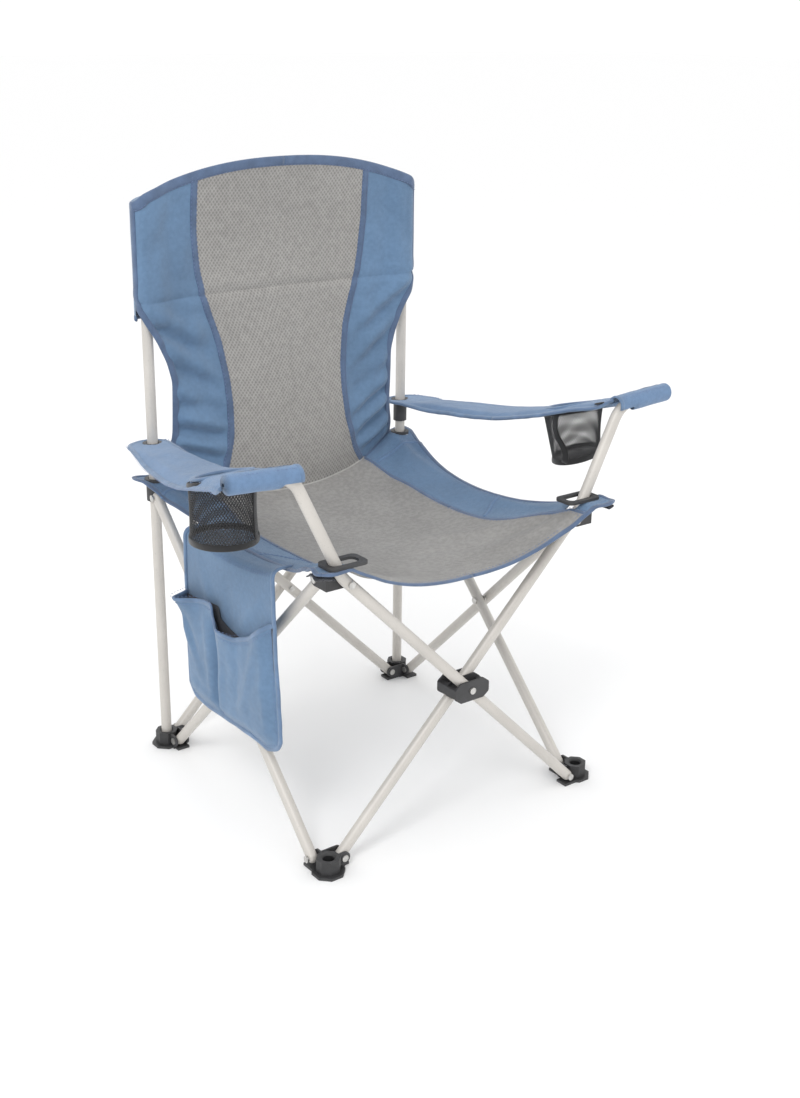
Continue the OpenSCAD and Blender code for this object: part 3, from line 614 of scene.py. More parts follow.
def seat_grid():
    v, s = np.meshgrid(np.linspace(-1, 1, 2 * SEAT_ROWS + 1), columns(), indexing="ij")
    edge = SIDE_EDGE + (REACH - SIDE_EDGE) * v ** 2

    def length(u):
        return np.where(v < 0, HEM_Y + (REACH - HEM_Y) * u, SEAM_Y + (REACH - SEAM_Y) * u ** 2)
    seam = np.full_like(v, 0.7)
    for _ in range(8):
        seam = seat_seam(v * length(seam)) / edge
    q = np.abs(s)
    u = np.where(q <= 1, q * seam, seam + (q - 1) * (1 - seam))
    x, y = np.sign(s) * u * edge, v * length(u)
    z = seat_height(x, y)
    x, y = round_corner(x, y, REACH, 0.030)
    points = np.stack([x, y, z], 2)
    # tension folds that fan out from the corners, sag between them, and a little crumple
    lift = np.zeros_like(x)
    for cx, cy, phase in ((-0.212, -0.235, 0.4), (0.212, -0.225, 1.7), (-0.228, 0.228, 2.2), (0.228, 0.228, 0.9)):
        dx, dy = x - cx, y - cy
        r, angle = np.hypot(dx, dy), np.arctan2(dy, dx)
        lift += 0.0030 * np.exp(-((r / 0.12) ** 2)) * smooth((r - 0.022) / 0.04) * np.sin(9 * angle + phase)
    blue = smooth((q - 1) * 4)
    lift += 0.0024 * ripple(points, 11, (1, 0.6, 1), 3.1) * (0.45 + 0.55 * blue)
    lift += 0.0009 * ripple(points, 34, (1, 1, 1), 8.7) * (0.4 + 0.6 * blue)
    lift += folds(x, y, [(0.155, 0.175, 0.045, 0.03, 0.012, 0.0022), (0.15, 0.155, 0.02, -0.05, 0.010, -0.0020),
                         (-0.15, 0.17, -0.05, 0.05, 0.012, 0.0020), (0.19, -0.16, 0.02, -0.03, 0.014, 0.0026),
                         (0.18, -0.19, 0.00, -0.10, 0.012, -0.0022), (-0.18, -0.18, -0.02, -0.06, 0.013, 0.0024),
                         (-0.17, -0.20, -0.02, -0.13, 0.011, -0.0018)])
    points[..., 2] += lift * (1 - smooth((np.abs(v) - 0.93) / 0.07) * 0.6)
    return points


def back_outer(z):
    return curve(z, [0.40, 0.44, 0.464, 0.487, 0.51, 0.592, 0.622, 0.655, 0.684, 0.703, 0.72, 0.92],
                 [0.216, 0.214, 0.211, 0.203, 0.199, 0.198, 0.206, 0.221, 0.240, 0.246, 0.246, 0.246])


def back_seam(z):
    return curve(z, [0.39, 0.41, 0.44, 0.495, 0.54, 0.58, 0.64, 0.711, 0.75, 0.806, 0.92],
                 [0.148, 0.140, 0.119, 0.105, 0.102, 0.103, 0.112, 0.135, 0.143, 0.148, 0.146])


CREASE_Z = 0.711                          # the seam straight across the back
BACK_LOW_ROWS, BACK_HIGH_ROWS = 62, 40
BACK_FRONT_Y = HALF - TUBE - 0.0055


def seam_line(x):
    """Seam between seat and back, at x."""
    y = SEAM_Y + (REACH - SEAM_Y) * (np.abs(x) / REACH) ** 2
    return y, seat_height(x, y)


def back_top(u):
    return 0.9025 - 0.046 * np.minimum(np.abs(u), 1) ** 2.3


def back_grid():
    t = np.concatenate([np.linspace(0, 1, BACK_LOW_ROWS + 1), 1 + np.linspace(0, 1, BACK_HIGH_ROWS + 1)[1:]])
    t[BACK_LOW_ROWS - 1], t[BACK_LOW_ROWS + 1] = 1 - 0.006, 1 + 0.010
    t, s = np.meshgrid(t, columns(), indexing="ij")
    q = np.abs(s)
    z = np.where(t <= 1, 0.42 + t * (CREASE_Z - 0.42), CREASE_Z + (t - 1) * (0.88 - CREASE_Z))
    for _ in range(8):
        grey, outer = back_seam(z), back_outer(z)
        x = np.where(q <= 1, q * grey, grey + (q - 1) * (outer - grey))
        low = seam_line(x)[1]
        z = np.where(t <= 1, low + t * (CREASE_Z - low), CREASE_Z + (t - 1) * (back_top(x / outer) - CREASE_Z))
    u = x / outer
    high = np.clip((z - 0.406) / 0.498, 0, 1)
    open_u = 1 - u ** 2
    y = BACK_FRONT_Y + 0.022 * open_u * np.sin(math.pi * high ** 1.6) - 0.026 * open_u * (1 - high) ** 3
    near = np.clip(1 - t, 0, 1) ** 4
    y = y + (seam_line(x)[0] - y) * near
    sleeve = np.where(x > HALF, HALF - np.sqrt(np.maximum(0, 0.016 ** 2 - (x - HALF) ** 2)), HALF - 0.016)
    w = smooth((z - 0.668) / 0.03) * smooth((x - 0.188) / 0.030)
    y = y * (1 - w) + sleeve * w
    x, z = x.copy(), z.copy()
    # rounded top corners
    corner = smooth((x - 0.232) / 0.014) * smooth((z - 0.846) / 0.012)
    z -= 0.006 * corner
    side = np.sign(s)
    points = np.stack([side * x, y, z], 2)
    normals = normals_of(points)
    blue = smooth((q - 1) * 5) * smooth((2 - q) * 6)
    low_part = smooth((0.74 - z) / 0.08)
    lift = blue * (0.0034 * ripple(points, 16, (1, 1, 2.2), 1.3) + 0.0021 * ripple(points, 42, (1, 1, 1.8), 5.5)) * (0.35 + 0.65 * low_part)
    creases = [(0.238, 0.700, 0.150, 0.655, 0.011, 0.0042), (0.232, 0.678, 0.140, 0.628, 0.011, -0.0040),
               (0.212, 0.645, 0.128, 0.590, 0.013, 0.0046), (0.206, 0.618, 0.120, 0.572, 0.010, -0.0036),
               (0.200, 0.580, 0.150, 0.548, 0.010, 0.0036), (0.200, 0.560, 0.112, 0.540, 0.009, -0.0034),
               (0.200, 0.540, 0.118, 0.512, 0.010, 0.0046), (0.200, 0.520, 0.110, 0.497, 0.008, -0.0044),
               (0.202, 0.502, 0.115, 0.478, 0.009, 0.0050), (0.204, 0.486, 0.120, 0.462, 0.008, -0.0046),
               (0.208, 0.470, 0.130, 0.448, 0.009, 0.0050), (0.212, 0.455, 0.140, 0.436, 0.007, -0.0040),
               (0.215, 0.444, 0.150, 0.425, 0.008, 0.0036), (0.175, 0.735, 0.165, 0.80, 0.016, 0.0022),
               (0.230, 0.760, 0.185, 0.84, 0.014, -0.0018), (0.160, 0.70, 0.150, 0.60, 0.010, 0.0026)]
    shifted = [(a0, b0 + 0.012, a1, b1 - 0.010, wd, h * 0.9) for a0, b0, a1, b1, wd, h in creases]
    lift += 1.75 * blue * np.where(side < 0, folds(x, z, creases), folds(x, z, shifted))
    lift += (1 - blue) * 0.0008 * ripple(points, 13, (1, 1, 0.8), 2.9)
    lift += 0.0012 * np.exp(-((z - CREASE_Z - 0.012) / 0.010) ** 2) + 0.0010 * np.exp(-((z - CREASE_Z + 0.012) / 0.010) ** 2)
    lift -= 0.0022 * np.exp(-((z - CREASE_Z) / 0.0022) ** 2)
    lift *= smooth(t * 9) * smooth((back_top(u) - z) / 0.02)
    points -= normals * lift[..., None] * np.sign(normals[..., 1:2])
    return points


SEAT = seat_grid()
BACK = back_grid()
SEAT_N = normals_of(SEAT)
BACK_N = normals_of(BACK)
if SEAT_N[SEAT_ROWS, GREY_COLUMNS, 2] < 0:
    SEAT_N = -SEAT_N
SEAT_MID, MID = SEAT_ROWS, GREY_COLUMNS + BLUE_COLUMNS
LAST = 2 * MID


def oriented(points, normals):
    """Flips a grid's columns where its face winding and its normals disagree."""
    real = normals_of(points)
    if (real * normals).sum() < 0:
        return points[:, ::-1], normals[:, ::-1]
    return points, normals


def sling_piece(name, points, normals, thickness, material, body, node_name, squash, held, rests_on, hole=None):
    points, normals = oriented(points, normals)
    keep = None
    if hole is not None:
        points, keep = punch(points, *hole)
    piece = cloth(name, points, normals, thickness, material, keep)
    fit(piece, body, squash)
    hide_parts(node_name)
    return piece, points, keep


def seat_quarter(side, end):
    name = ("front" if end < 0 else "rear") + "_" + SIDES[side]
    body, cad = f"seat_{name}_fabric", f"seat_{name}"
    squash = ((1, 0, 0), (side * HALF, 0, 0.42), SLING_KEEP)
    rows = slice(0, SEAT_MID + 1) if end < 0 else slice(SEAT_MID, None)
    inner = slice(MID, MID + GREY_COLUMNS + 1) if side > 0 else slice(MID - GREY_COLUMNS, MID + 1)
    outer = slice(MID + GREY_COLUMNS, None) if side > 0 else slice(0, MID - GREY_COLUMNS + 1)
    hole = ((side * 0.212, ARM_Y[side]), 0.012, 0.0104) if end < 0 else ((side * HALF, HALF), 0.0, 0.0128)
    rests = [f"seat_grommet_{name}", f"rear_post_{SIDES[side]}" if end > 0 else f"corner_bracket_{SIDES[side]}"]

    def trim(piece, slot="blue_binding"):
        fit(piece, body, squash)

    seam_column = MID + side * GREY_COLUMNS
    edge_column = LAST if side > 0 else 0
    row_run = np.arange(SEAT_ROWS, -1, -1) if end < 0 else np.arange(SEAT_MID, 2 * SEAT_ROWS + 1)
    at_seam, n_seam = SEAT[row_run, seam_column], SEAT_N[row_run, seam_column]
    at_edge, n_edge = SEAT[row_run, edge_column], SEAT_N[row_run, edge_column]
    trim(tape(f"seat_seam_{name}", at_seam, n_seam, 0.0060, 0.0036, BINDING))
    trim(stitches(f"seat_seam_thread_{name}", at_seam, n_seam, (-0.0046, 0.0046), 0.0012, THREAD), "blue_binding")
    trim(tape(f"seat_edge_{name}", at_edge, n_edge, 0.0070, 0.0038, BINDING, -0.0022 * side * end))
    trim(stitches(f"seat_edge_thread_{name}", at_edge, n_edge, (-0.0092 * side * end,), 0.0011, THREAD), "blue_binding")
    column_run = np.arange(MID, LAST + 1) if side > 0 else np.arange(MID, -1, -1)
    row = 0 if end < 0 else 2 * SEAT_ROWS
    at_hem, n_hem = SEAT[row, column_run], SEAT_N[row, column_run]
    if end < 0:
        trim(tape(f"seat_hem_{name}", at_hem, n_hem, 0.0080, 0.0042, BINDING, -0.0026 * side))
        trim(stitches(f"seat_hem_thread_{name}", at_hem, n_hem, (-0.0115 * side,), 0.0012, THREAD), "blue_binding")
        patch = [(SEAT_ROWS * 0.72, MID + side * (GREY_COLUMNS + 0.6)), (SEAT_ROWS * 0.80, MID + side * (GREY_COLUMNS + BLUE_COLUMNS * 0.35)),
                 (SEAT_ROWS * 0.865, MID + side * (GREY_COLUMNS + BLUE_COLUMNS - 0.5))]
    else:
        inside = at_hem[: GREY_COLUMNS + 1], n_hem[: GREY_COLUMNS + 1]
        trim(tape(f"junction_{name}", *inside, 0.0062, 0.0040, JOIN_TAPE, 0.0), "grey_mesh")
        trim(tape(f"junction_side_{name}", at_hem[GREY_COLUMNS:], n_hem[GREY_COLUMNS:], 0.0080, 0.0040, BINDING, 0.0))
        patch = [(SEAT_MID + SEAT_ROWS * 0.86, MID + side * (GREY_COLUMNS + 0.6)), (SEAT_MID + SEAT_ROWS * 0.80, MID + side * (GREY_COLUMNS + BLUE_COLUMNS * 0.45)),
                 (SEAT_MID + SEAT_ROWS * 0.70, MID + side * (GREY_COLUMNS + BLUE_COLUMNS - 0.5))]
    path = resampled([(*p, 0) for p in patch], 1.0)[0][:, :2]
    welt, welt_n = on_grid(SEAT, path), unit(on_grid(SEAT_N, path))
    trim(tape(f"seat_patch_{name}", welt, welt_n, 0.0052, 0.0034, ARM_BLUE), "blue_fabric")
    trim(stitches(f"seat_patch_thread_{name}", welt, welt_n, (-0.0042, 0.0042), 0.0012, THREAD), "blue_binding")
    if end < 0:
        # painted shade: a near-black sheet just under the seat's front corner that darkens its underside
        ring = [row_ for row_ in range(0, 12)]
        cols = np.arange(LAST - 13, LAST + 1) if side > 0 else np.arange(0, 14)
        flap = SEAT[np.ix_(ring, cols)].copy()
        flap_n = SEAT_N[np.ix_(ring, cols)]
        flap = flap - np.array([0, 0, 0.0075]) + np.stack([0 * flap[..., 0], 0 * flap[..., 0], 0.0016 * ripple(flap, 60)], 2)
        flap, flap_n = oriented(flap, flap_n)
        under, keep_under = punch(flap, (side * 0.2185, ARM_Y[side]), 0.004, 0.0100)
        layer = fit(cloth(f"seat_corner_shade_{SIDES[side]}", under, flap_n, CLOTH, SHADE_CLOTH, keep_under), body, squash)
        declare(layer, under, keep=keep_under)
    grey, grey_points, _ = sling_piece(f"seat_mesh_{name}", SEAT[rows, inner], SEAT_N[rows, inner], MESH_CLOTH, SEAT_GREY,
                                       body, cad, squash, "hung", rests)
    declare(grey, grey_points)
    blue, blue_points, keep = sling_piece(f"seat_side_{name}", SEAT[rows, outer], SEAT_N[rows, outer], CLOTH, BLUE,
                                          body, cad, squash, "hung", rests, hole)
    declare(blue, blue_points, keep)


for side in SIDES:
    for end in (-1, 1):
        seat_quarter(side, end)


def back_half(side):
    name = SIDES[side]
    body = f"rear_{name}_leg"
    squash = ((1, 0, 0), (side * (HALF + 0.002), 0, 0.6), 0.28)
    inner = slice(MID, MID + GREY_COLUMNS + 1) if side > 0 else slice(MID - GREY_COLUMNS, MID + 1)
    outer = slice(MID + GREY_COLUMNS, None) if side > 0 else slice(0, MID - GREY_COLUMNS + 1)
    facing = BACK_N if BACK_N[BACK_LOW_ROWS, MID, 1] < 0 else -BACK_N
    rests = [f"rear_post_{name}", f"post_cap_{name}"]

    def trim(piece, slot="blue_binding", squashed=True):
        fit(piece, body, squash if squashed else None)

    seam_column, edge_column = MID + side * GREY_COLUMNS, LAST if side > 0 else 0
    at_seam, n_seam = BACK[:, seam_column], facing[:, seam_column]
    at_edge, n_edge = BACK[:, edge_column], facing[:, edge_column]
    trim(tape(f"back_seam_{name}", at_seam, n_seam, 0.0115, 0.0042, BINDING, 0.003 * side))
    trim(stitches(f"back_seam_thread_{name}", at_seam, n_seam, (-0.0015 * side, 0.0075 * side), 0.0022, THREAD), "blue_binding")
    trim(tape(f"back_edge_{name}", at_edge, n_edge, 0.0105, 0.0042, BINDING, -0.0034 * side))
    column_run = np.arange(MID, LAST + 1) if side > 0 else np.arange(MID, -1, -1)
    at_top, n_top = BACK[-1, column_run], facing[-1, column_run]
    trim(tape(f"back_top_{name}", at_top, n_top, 0.0150, 0.0050, BINDING, 0.0048 * side))
    trim(stitches(f"back_top_thread_{name}", at_top, n_top, (0.0105 * side,), 0.0027, THREAD), "blue_binding")
    row = BACK_LOW_ROWS
    blue_run = column_run[GREY_COLUMNS + 1:]
    trim(stitches(f"back_crease_thread_{name}", BACK[row, blue_run], facing[row, blue_run], (0.0030, -0.0030), 0.0012, THREAD), "blue_binding")
    grey_run = column_run[:GREY_COLUMNS]
    trim(stitches(f"back_crease_grey_thread_{name}", BACK[row, grey_run], facing[row, grey_run], (0.0026,), 0.0014, GREY_THREAD), "grey_mesh")
    grey, grey_points, _ = sling_piece(f"back_mesh_{name}", BACK[:, inner], facing[:, inner], MESH_CLOTH, GREY, body,
                                       f"back_panel_{name}", squash, "stretched", rests)
    declare(grey, grey_points)
    blue, blue_points, _ = sling_piece(f"back_side_{name}", BACK[:, outer], facing[:, outer], CLOTH, BLUE, body,
                                       f"back_panel_{name}", squash, "stretched", rests)
    declare(blue, blue_points)
    # the sleeve behind the post, closed by a roof at its top
    reach, low = 0.016, 0.688
    angles = np.linspace(0, math.pi / 2, 9)
    path = [(HALF + reach * math.cos(a), HALF + reach * math.sin(a)) for a in angles]
    path += [(HALF - d, HALF + reach - d * 0.66) for d in (0.006, 0.013, 0.020, 0.026)]
    path = np.array(path)
    top = np.interp(path[:, 0], [0.2, 0.246], [0.872, 0.852])
    rows = [np.column_stack([side * path[:, 0], path[:, 1], low + (top - 0.004 - low) * k]) for k in np.linspace(0, 1, 30)]
    for k in np.linspace(0.25, 1, 4):
        front_y = np.where(path[:, 0] > HALF, HALF - np.sqrt(np.maximum(0, reach ** 2 - (path[:, 0] - HALF) ** 2)), HALF - reach)
        rows.append(np.column_stack([side * path[:, 0], path[:, 1] + (front_y - path[:, 1]) * k, top - 0.004 + 0.005 * math.sin(k * math.pi / 2)]))
    sleeve = np.array(rows)
    out = unit(np.stack([sleeve[..., 0] - side * HALF, sleeve[..., 1] - HALF + 0.002, 0 * sleeve[..., 0]], 2))
    sleeve += out * (0.0012 * ripple(sleeve, 30, (1, 1, 0.5)))[..., None]
    n = normals_of(sleeve)
    if (n * out)[:20].sum() < 0:
        n = -n
    sleeve, n = oriented(sleeve, n)
    piece = fit(cloth(f"back_sleeve_{name}", sleeve, n, CLOTH, BLUE), body)
    mouth, mouth_n = sleeve[0], n[0]
    hem = fit(tape(f"back_sleeve_hem_{name}", mouth, mouth_n, 0.008, 0.0038, BINDING), body)
    declare(piece, sleeve)


for side in SIDES:
    back_half(side)

# ---- armrests --------------------------------------------------------------------------

ARM_CLOTH = 0.0034
ARM_FRONT, ARM_REAR, ARM_COLUMNS = 60, 46, 28
TAIL_Y = 0.252
CUP_X, CUP_Y, CUP_HOLE = 0.305, -0.105, 0.038


def arm_height(y):
    return 0.518 - 0.0826 * y + 0.00665 * np.logaddexp(0, -y / 0.03)


def tube_height(x):
    """Height of the arm tube's axis at x."""
    return 0.582 + (np.abs(x) - 0.287) * 0.0575


def arm_grid(side):
    """Grid of one armrest: rows from its front to its tail, columns from its inner to its outer edge."""
    tube_y = ARM_Y[side]
    front = tube_y + 0.0040
    rows = np.concatenate([np.linspace(front, 0, ARM_FRONT + 1),
                           TAIL_Y * np.sin(np.linspace(0, math.pi / 2, ARM_REAR + 1))[1:]])
    y, a = np.meshgrid(rows, np.linspace(0, 1, ARM_COLUMNS + 1), indexing="ij")
    inner = curve(y, [front, -0.05, 0, TAIL_Y], [0.279, 0.244, 0.237, 0.206])
    outer = curve(y, [front, front + 0.03, 0, TAIL_Y], [0.381, 0.3720, 0.323, 0.261])
    centre, half = (inner + outer) / 2, (outer - inner) / 2
    half = half * np.sqrt(np.clip(1 - (np.maximum(0, y - 0.2255) / 0.0268) ** 2, 0.004, 1))
    x = side * (centre + (2 * a - 1) * half)
    z = arm_height(y) + 0.0036 * (1 - (2 * a - 1) ** 2) * smooth((y - front) / 0.05) * smooth((0.20 - y) / 0.06)
    z -= ((0.0075 + 0.0085 * smooth(1 - (y - front) / 0.05)) * smooth((a - 0.84) / 0.16) + 0.0035 * smooth((0.12 - a) / 0.12)) * smooth((0.21 - y) / 0.08)
    join = smooth(1 - (y - front) / 0.028)
    z = z + (tube_height(x) + 0.0114 - arm_height(np.full_like(y, front))) * join
    points = np.stack([x, y, z], 2)
    calm = smooth((np.hypot(np.abs(x) - HALF, y - HALF) - 0.014) / 0.02)
    calm = calm * smooth((np.hypot(np.abs(x) - CUP_X, y - CUP_Y) - 0.036) / 0.02)
    points[..., 2] += calm * (0.0013 * ripple(points, 22, (1, 0.8, 1), 4.4 + side) + 0.0007 * ripple(points, 60, (1, 1, 1), 9.1))
    points[..., 2] += calm * folds(np.abs(x), y, [(0.265, -0.20, 0.262, -0.03, 0.010, 0.0016), (0.352, -0.17, 0.318, -0.01, 0.010, -0.0016),
                                                   (0.240, 0.03, 0.228, 0.18, 0.008, 0.0014), (0.290, 0.02, 0.258, 0.17, 0.009, -0.0015)])
    normals = normals_of(points)
    if normals[20, 10, 2] < 0:
        normals = -normals
    return points, normals


def armrest(side):
    name = SIDES[side]
    points, normals = arm_grid(side)
    tube_y = ARM_Y[side]
    hole = ((side * CUP_X, CUP_Y), 0.0, CUP_HOLE)
    ring = ((side * HALF, HALF), 0.0, 0.0128)
    for end in (-1, 1):
        place = ("front" if end < 0 else "rear") + "_" + name
        body, cad = f"armrest_{place}_fabric", f"armrest_{place}"
        rows = slice(0, ARM_FRONT + 1) if end < 0 else slice(ARM_FRONT, None)
        part, part_n = oriented(points[rows], normals[rows])
        part, keep = punch(part, *(hole if end < 0 else ring))

        def trim(piece, slot="blue_binding"):
            fit(piece, body)

        inner, inner_n = points[rows, 0], normals[rows, 0]
        outer, outer_n = points[rows, -1], normals[rows, -1]
        if end < 0:
            trim(tape(f"arm_edge_inner_{place}", inner, inner_n, 0.0072, 0.0050, ARM_TAPE, -0.0016 * side))
            trim(tape(f"arm_edge_outer_{place}", outer, outer_n, 0.0072, 0.0050, ARM_TAPE, 0.0016 * side))
            trim(stitches(f"arm_thread_inner_{place}", inner, inner_n, (-0.0068 * side,), 0.0019, THREAD))
            trim(stitches(f"arm_thread_outer_{place}", outer, outer_n, (0.0068 * side,), 0.0019, THREAD))
            across = on_grid(points, [(4.4, c) for c in range(1, ARM_COLUMNS)])
            across_n = unit(on_grid(normals, [(4.4, c) for c in range(1, ARM_COLUMNS)]))
            trim(stitches(f"arm_thread_front_{place}", across, across_n, (-0.001, 0.0035), 0.0019, THREAD))
            angles = np.linspace(0, 2 * math.pi, 73)[:-1]
            around = np.stack([side * CUP_X + CUP_HOLE * np.cos(angles), CUP_Y + CUP_HOLE * np.sin(angles), 0 * angles], 1)
            around[:, 2] = arm_height(around[:, 1]) + 0.0010
            around[:, 2] += 0.0026 * (1 - ((np.abs(around[:, 0]) - 0.298) / 0.05) ** 2).clip(0, 1)
            up = unit(np.array([0, 0.298, 1.0]))
            trim(tape(f"cup_rim_{place}", around, np.tile(up, (72, 1)), 0.0085, 0.0050, ARM_TAPE, closed=True))
            closed_line = np.concatenate([around, around[:1]])
            trim(stitches(f"cup_rim_thread_{place}", closed_line, np.tile(up, (73, 1)), (-0.0076,), 0.0020, THREAD))
            spot = np.array([side * (0.262 + 0.013), tube_y + 0.031, 0.0])
            at = np.stack([spot[0] + 0.0052 * np.cos(angles[::3]), spot[1] + 0.0052 * np.sin(angles[::3]), 0 * angles[::3]], 1)
            at[:, 2] = arm_height(at[:, 1]) + 0.0022
            trim(tape(f"eyelet_{place}", at, np.tile(up, (len(at), 1)), 0.0042, 0.0026, PLASTIC, closed=True), "black_plastic")
        else:
            edge = np.concatenate([inner, points[-1, 1:-1], outer[::-1]])
            edge_n = np.concatenate([inner_n, normals[-1, 1:-1], outer_n[::-1]])
            trim(tape(f"arm_edge_{place}", edge, edge_n, 0.0072, 0.0050, ARM_TAPE, -0.0016 * side, step=0.004))
            short = slice(0, len(inner) - 8)
            trim(stitches(f"arm_thread_inner_{place}", inner[short], inner_n[short], (-0.0068 * side,), 0.0019, THREAD))
            trim(stitches(f"arm_thread_outer_{place}", outer[short], outer_n[short], (0.0068 * side,), 0.0019, THREAD))
        piece = fit(cloth(f"armrest_{place}_cloth", part, part_n, ARM_CLOTH, ARM_BLUE, keep), body)
        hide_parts(cad)
        declare(piece, part, keep)
    # the sewn tunnel round the arm tube, open below where the tube bends away
    run = np.concatenate([np.linspace(0.2790, 0.376, 58), 0.376 + 0.0056 * np.sin(np.linspace(0, math.pi / 2, 8))[1:]])
    share, x = np.meshgrid(np.linspace(0, 1, 37), run)
    last = 204 + 150 * smooth((x - 0.303) / 0.014)
    angle = np.radians(-4 + share * (last + 4))
    radius = 0.0122 * np.sqrt(np.clip(1 - (np.maximum(0, x - 0.376) / 0.0058) ** 2, 0.02, 1))
    radius = radius + 0.0006 * ripple(np.stack([x, share * 0.05, share * 0], 2), 45, (1, 1, 1), 2.0 + side)
    hem = np.stack([side * x, tube_y + radius * np.cos(angle), tube_height(x) + radius * np.sin(angle)], 2)
    out = unit(np.stack([0 * x, np.cos(angle), np.sin(angle)], 2))
    hem, out = oriented(hem, out)
    tunnel = fit(cloth(f"arm_hem_{name}", hem, out, 0.0020, ARM_BLUE), f"{name}_arm")
    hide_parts(f"arm_sleeve_{name}")
    line = np.stack([side * run[:58], np.full(58, tube_y + 0.0126 * math.cos(math.radians(118))), tube_height(run[:58]) + 0.0126 * math.sin(math.radians(118))], 1)
    seam_n = np.tile(unit(np.array([0, math.cos(math.radians(118)), math.sin(math.radians(118))])), (58, 1))
    thread = fit(stitches(f"arm_hem_thread_{name}", line, seam_n, (0.0,), 0.0007, THREAD), f"{name}_arm")
    mouth = hem[0] if abs(hem[0, 0, 0]) < 0.3 else hem[-1]
    mouth_n = out[0] if abs(hem[0, 0, 0]) < 0.3 else out[-1]
    end_tape = fit(tape(f"arm_hem_end_{name}", mouth, mouth_n, 0.0068, 0.0036, ARM_TAPE), f"{name}_arm")
    declare(tunnel, hem)


for side in SIDES:
    armrest(side)

# ---- cup holders -----------------------------------------------------------------------

NET_COLUMNS, NET_ROWS, CUP_R, CUP_LOW = 64, 26, 0.0442, 0.4645


def strands(vertices, faces, uvs, lines, radius):
    """Adds a thin square wire along each line of points."""
    corners = np.array([(1, 0), (0, 1), (-1, 0), (0, -1)]) * radius
    for line in lines:
        along = unit(np.gradient(line, axis=0))
        side_on = unit(np.cross(along, np.array([0.13, 0.21, 1.0])))
        over = np.cross(side_on, along)
        start = len(vertices)
        run = np.concatenate([[0], np.cumsum(np.linalg.norm(np.diff(line, axis=0), axis=1))])
        for k, p in enumerate(line):
            for m, (c, s) in enumerate(corners):
                vertices.append(p + side_on[k] * c + over[k] * s)
                uvs.append((m * radius, run[k]))
        for k in range(len(line) - 1):
            for m in range(4):
                faces.append((start + 4 * k + m, start + 4 * k + (m + 1) % 4, start + 4 * k + 4 + (m + 1) % 4, start + 4 * k + 4 + m))
        faces.append((start + 3, start + 2, start + 1, start))
        end = start + 4 * (len(line) - 1)
        faces.append((end, end + 1, end + 2, end + 3))


def cup_holder(side):
    name = SIDES[side]
    body = f"armrest_front_{name}_fabric"
    squash = ((0, 0, 1), (side * CUP_X, CUP_Y, 0.545), 0.12)
    centre = np.array([side * CUP_X, CUP_Y])

    def top(angle):
        return arm_height(CUP_Y + CUP_R * np.sin(angle)) - 0.0014

    # the right net has slumped: its floor is drawn in, pushed forward and tipped
    slump = 0.0 if side < 0 else 1.0

    def wall(angle, share, extra=0.0):
        slack = 0.0009 * np.sin(3 * angle + 0.7) * np.sin(math.pi * share) - 0.0016 * np.sin(math.pi * share)
        down = 1 - share
        r = (CUP_R + slack) * (1 - slump * 0.20 * down) + extra
        tip = slump * 0.010 * np.cos(angle + 0.65) * down
        return np.stack([centre[0] + slump * 0.006 * down + r * np.cos(angle), centre[1] - slump * 0.0075 * down + r * np.sin(angle),
                         CUP_LOW + slump * 0.010 * down + tip + (top(angle) - CUP_LOW - slump * 0.010 * down) * share], -1)

    vertices, faces, uvs, lines = [], [], [], []
    share = np.linspace(0, 1, NET_ROWS + 1)
    for k in range(NET_COLUMNS):
        for turn in (-0.5, 0.5):
            angle = 2 * math.pi * (k + turn * np.arange(NET_ROWS + 1)) / NET_COLUMNS
            lines.append(wall(angle, share, 0.0002 * turn))
    for k in range(-9, 10):
        d = k / 9.6
        half_turn = math.acos(d)
        for a in (math.pi / 4, -math.pi / 4):
            ends = wall(np.array([a + half_turn, a - half_turn]), np.zeros(2))
            t = np.linspace(0, 1, 10)[:, None]
            lines.append(ends[0] * (1 - t) + ends[1] * t - np.array([0, 0, 0.002]) * np.sin(math.pi * t))
    strands(vertices, faces, uvs, lines, 0.00056)
    net = fit(mesh_piece(f"cup_net_{name}", vertices, faces, uvs, NET), body, squash)
    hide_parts(f"cup_holder_{name}")
    angles = np.linspace(0, 2 * math.pi, 97)[:-1]
    out = np.stack([np.cos(angles), np.sin(angles), 0 * angles], 1)
    low = wall(angles, np.full(96, 0.035), 0.0010)
    high = wall(angles, np.full(96, 0.955), 0.0010)
    trims = [tape(f"cup_band_{name}", low, out, 0.0090, 0.0022, BLACK_TAPE, closed=True),
             tape(f"cup_top_band_{name}", high, out, 0.0070, 0.0020, BLACK_TAPE, closed=True)]
    first = math.radians(-54 if side < 0 else 192)
    t = np.linspace(0.02, 0.98, 24)
    lean_ = first + (0.0 if side < 0 else 0.16) * np.sin(t * 2 * math.pi + 0.4)
    strip_n = np.stack([np.cos(lean_), np.sin(lean_), 0 * lean_], 1)
    trims.append(tape(f"cup_strip_{name}", wall(lean_, t, 0.0013), strip_n, 0.0110, 0.0020, BLACK_TAPE))
    for piece in trims:
        fit(piece, body, squash)
    around = 2 * math.pi * CUP_R
    tall = float(np.mean(top(angles))) - CUP_LOW
    # the strip of the wall and the disc of the floor, as one rectangle of the same area
    flat = (round(around, 3), round(tall + CUP_R / 2, 3))
    sheet_sizes[net.name] = (*flat, flat[0] * flat[1])


for side in SIDES:
    cup_holder(side)

# ---- side pocket -------------------------------------------------------------------------

POCKET_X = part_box("side_pocket")[1][0] - 0.002
POCKET_KEEP = ((0, 1, 0), (-HALF, -HALF, 0.3), 0.28)
POCKET_ROWS, POCKET_COLUMNS = 56, 64


def pocket_low(y):
    return curve(y, [-0.160, -0.150, -0.123, -0.084, 0.042, 0.076, 0.088, 0.095], [0.186, 0.163, 0.152, 0.156, 0.151, 0.155, 0.168, 0.182], 0.010)


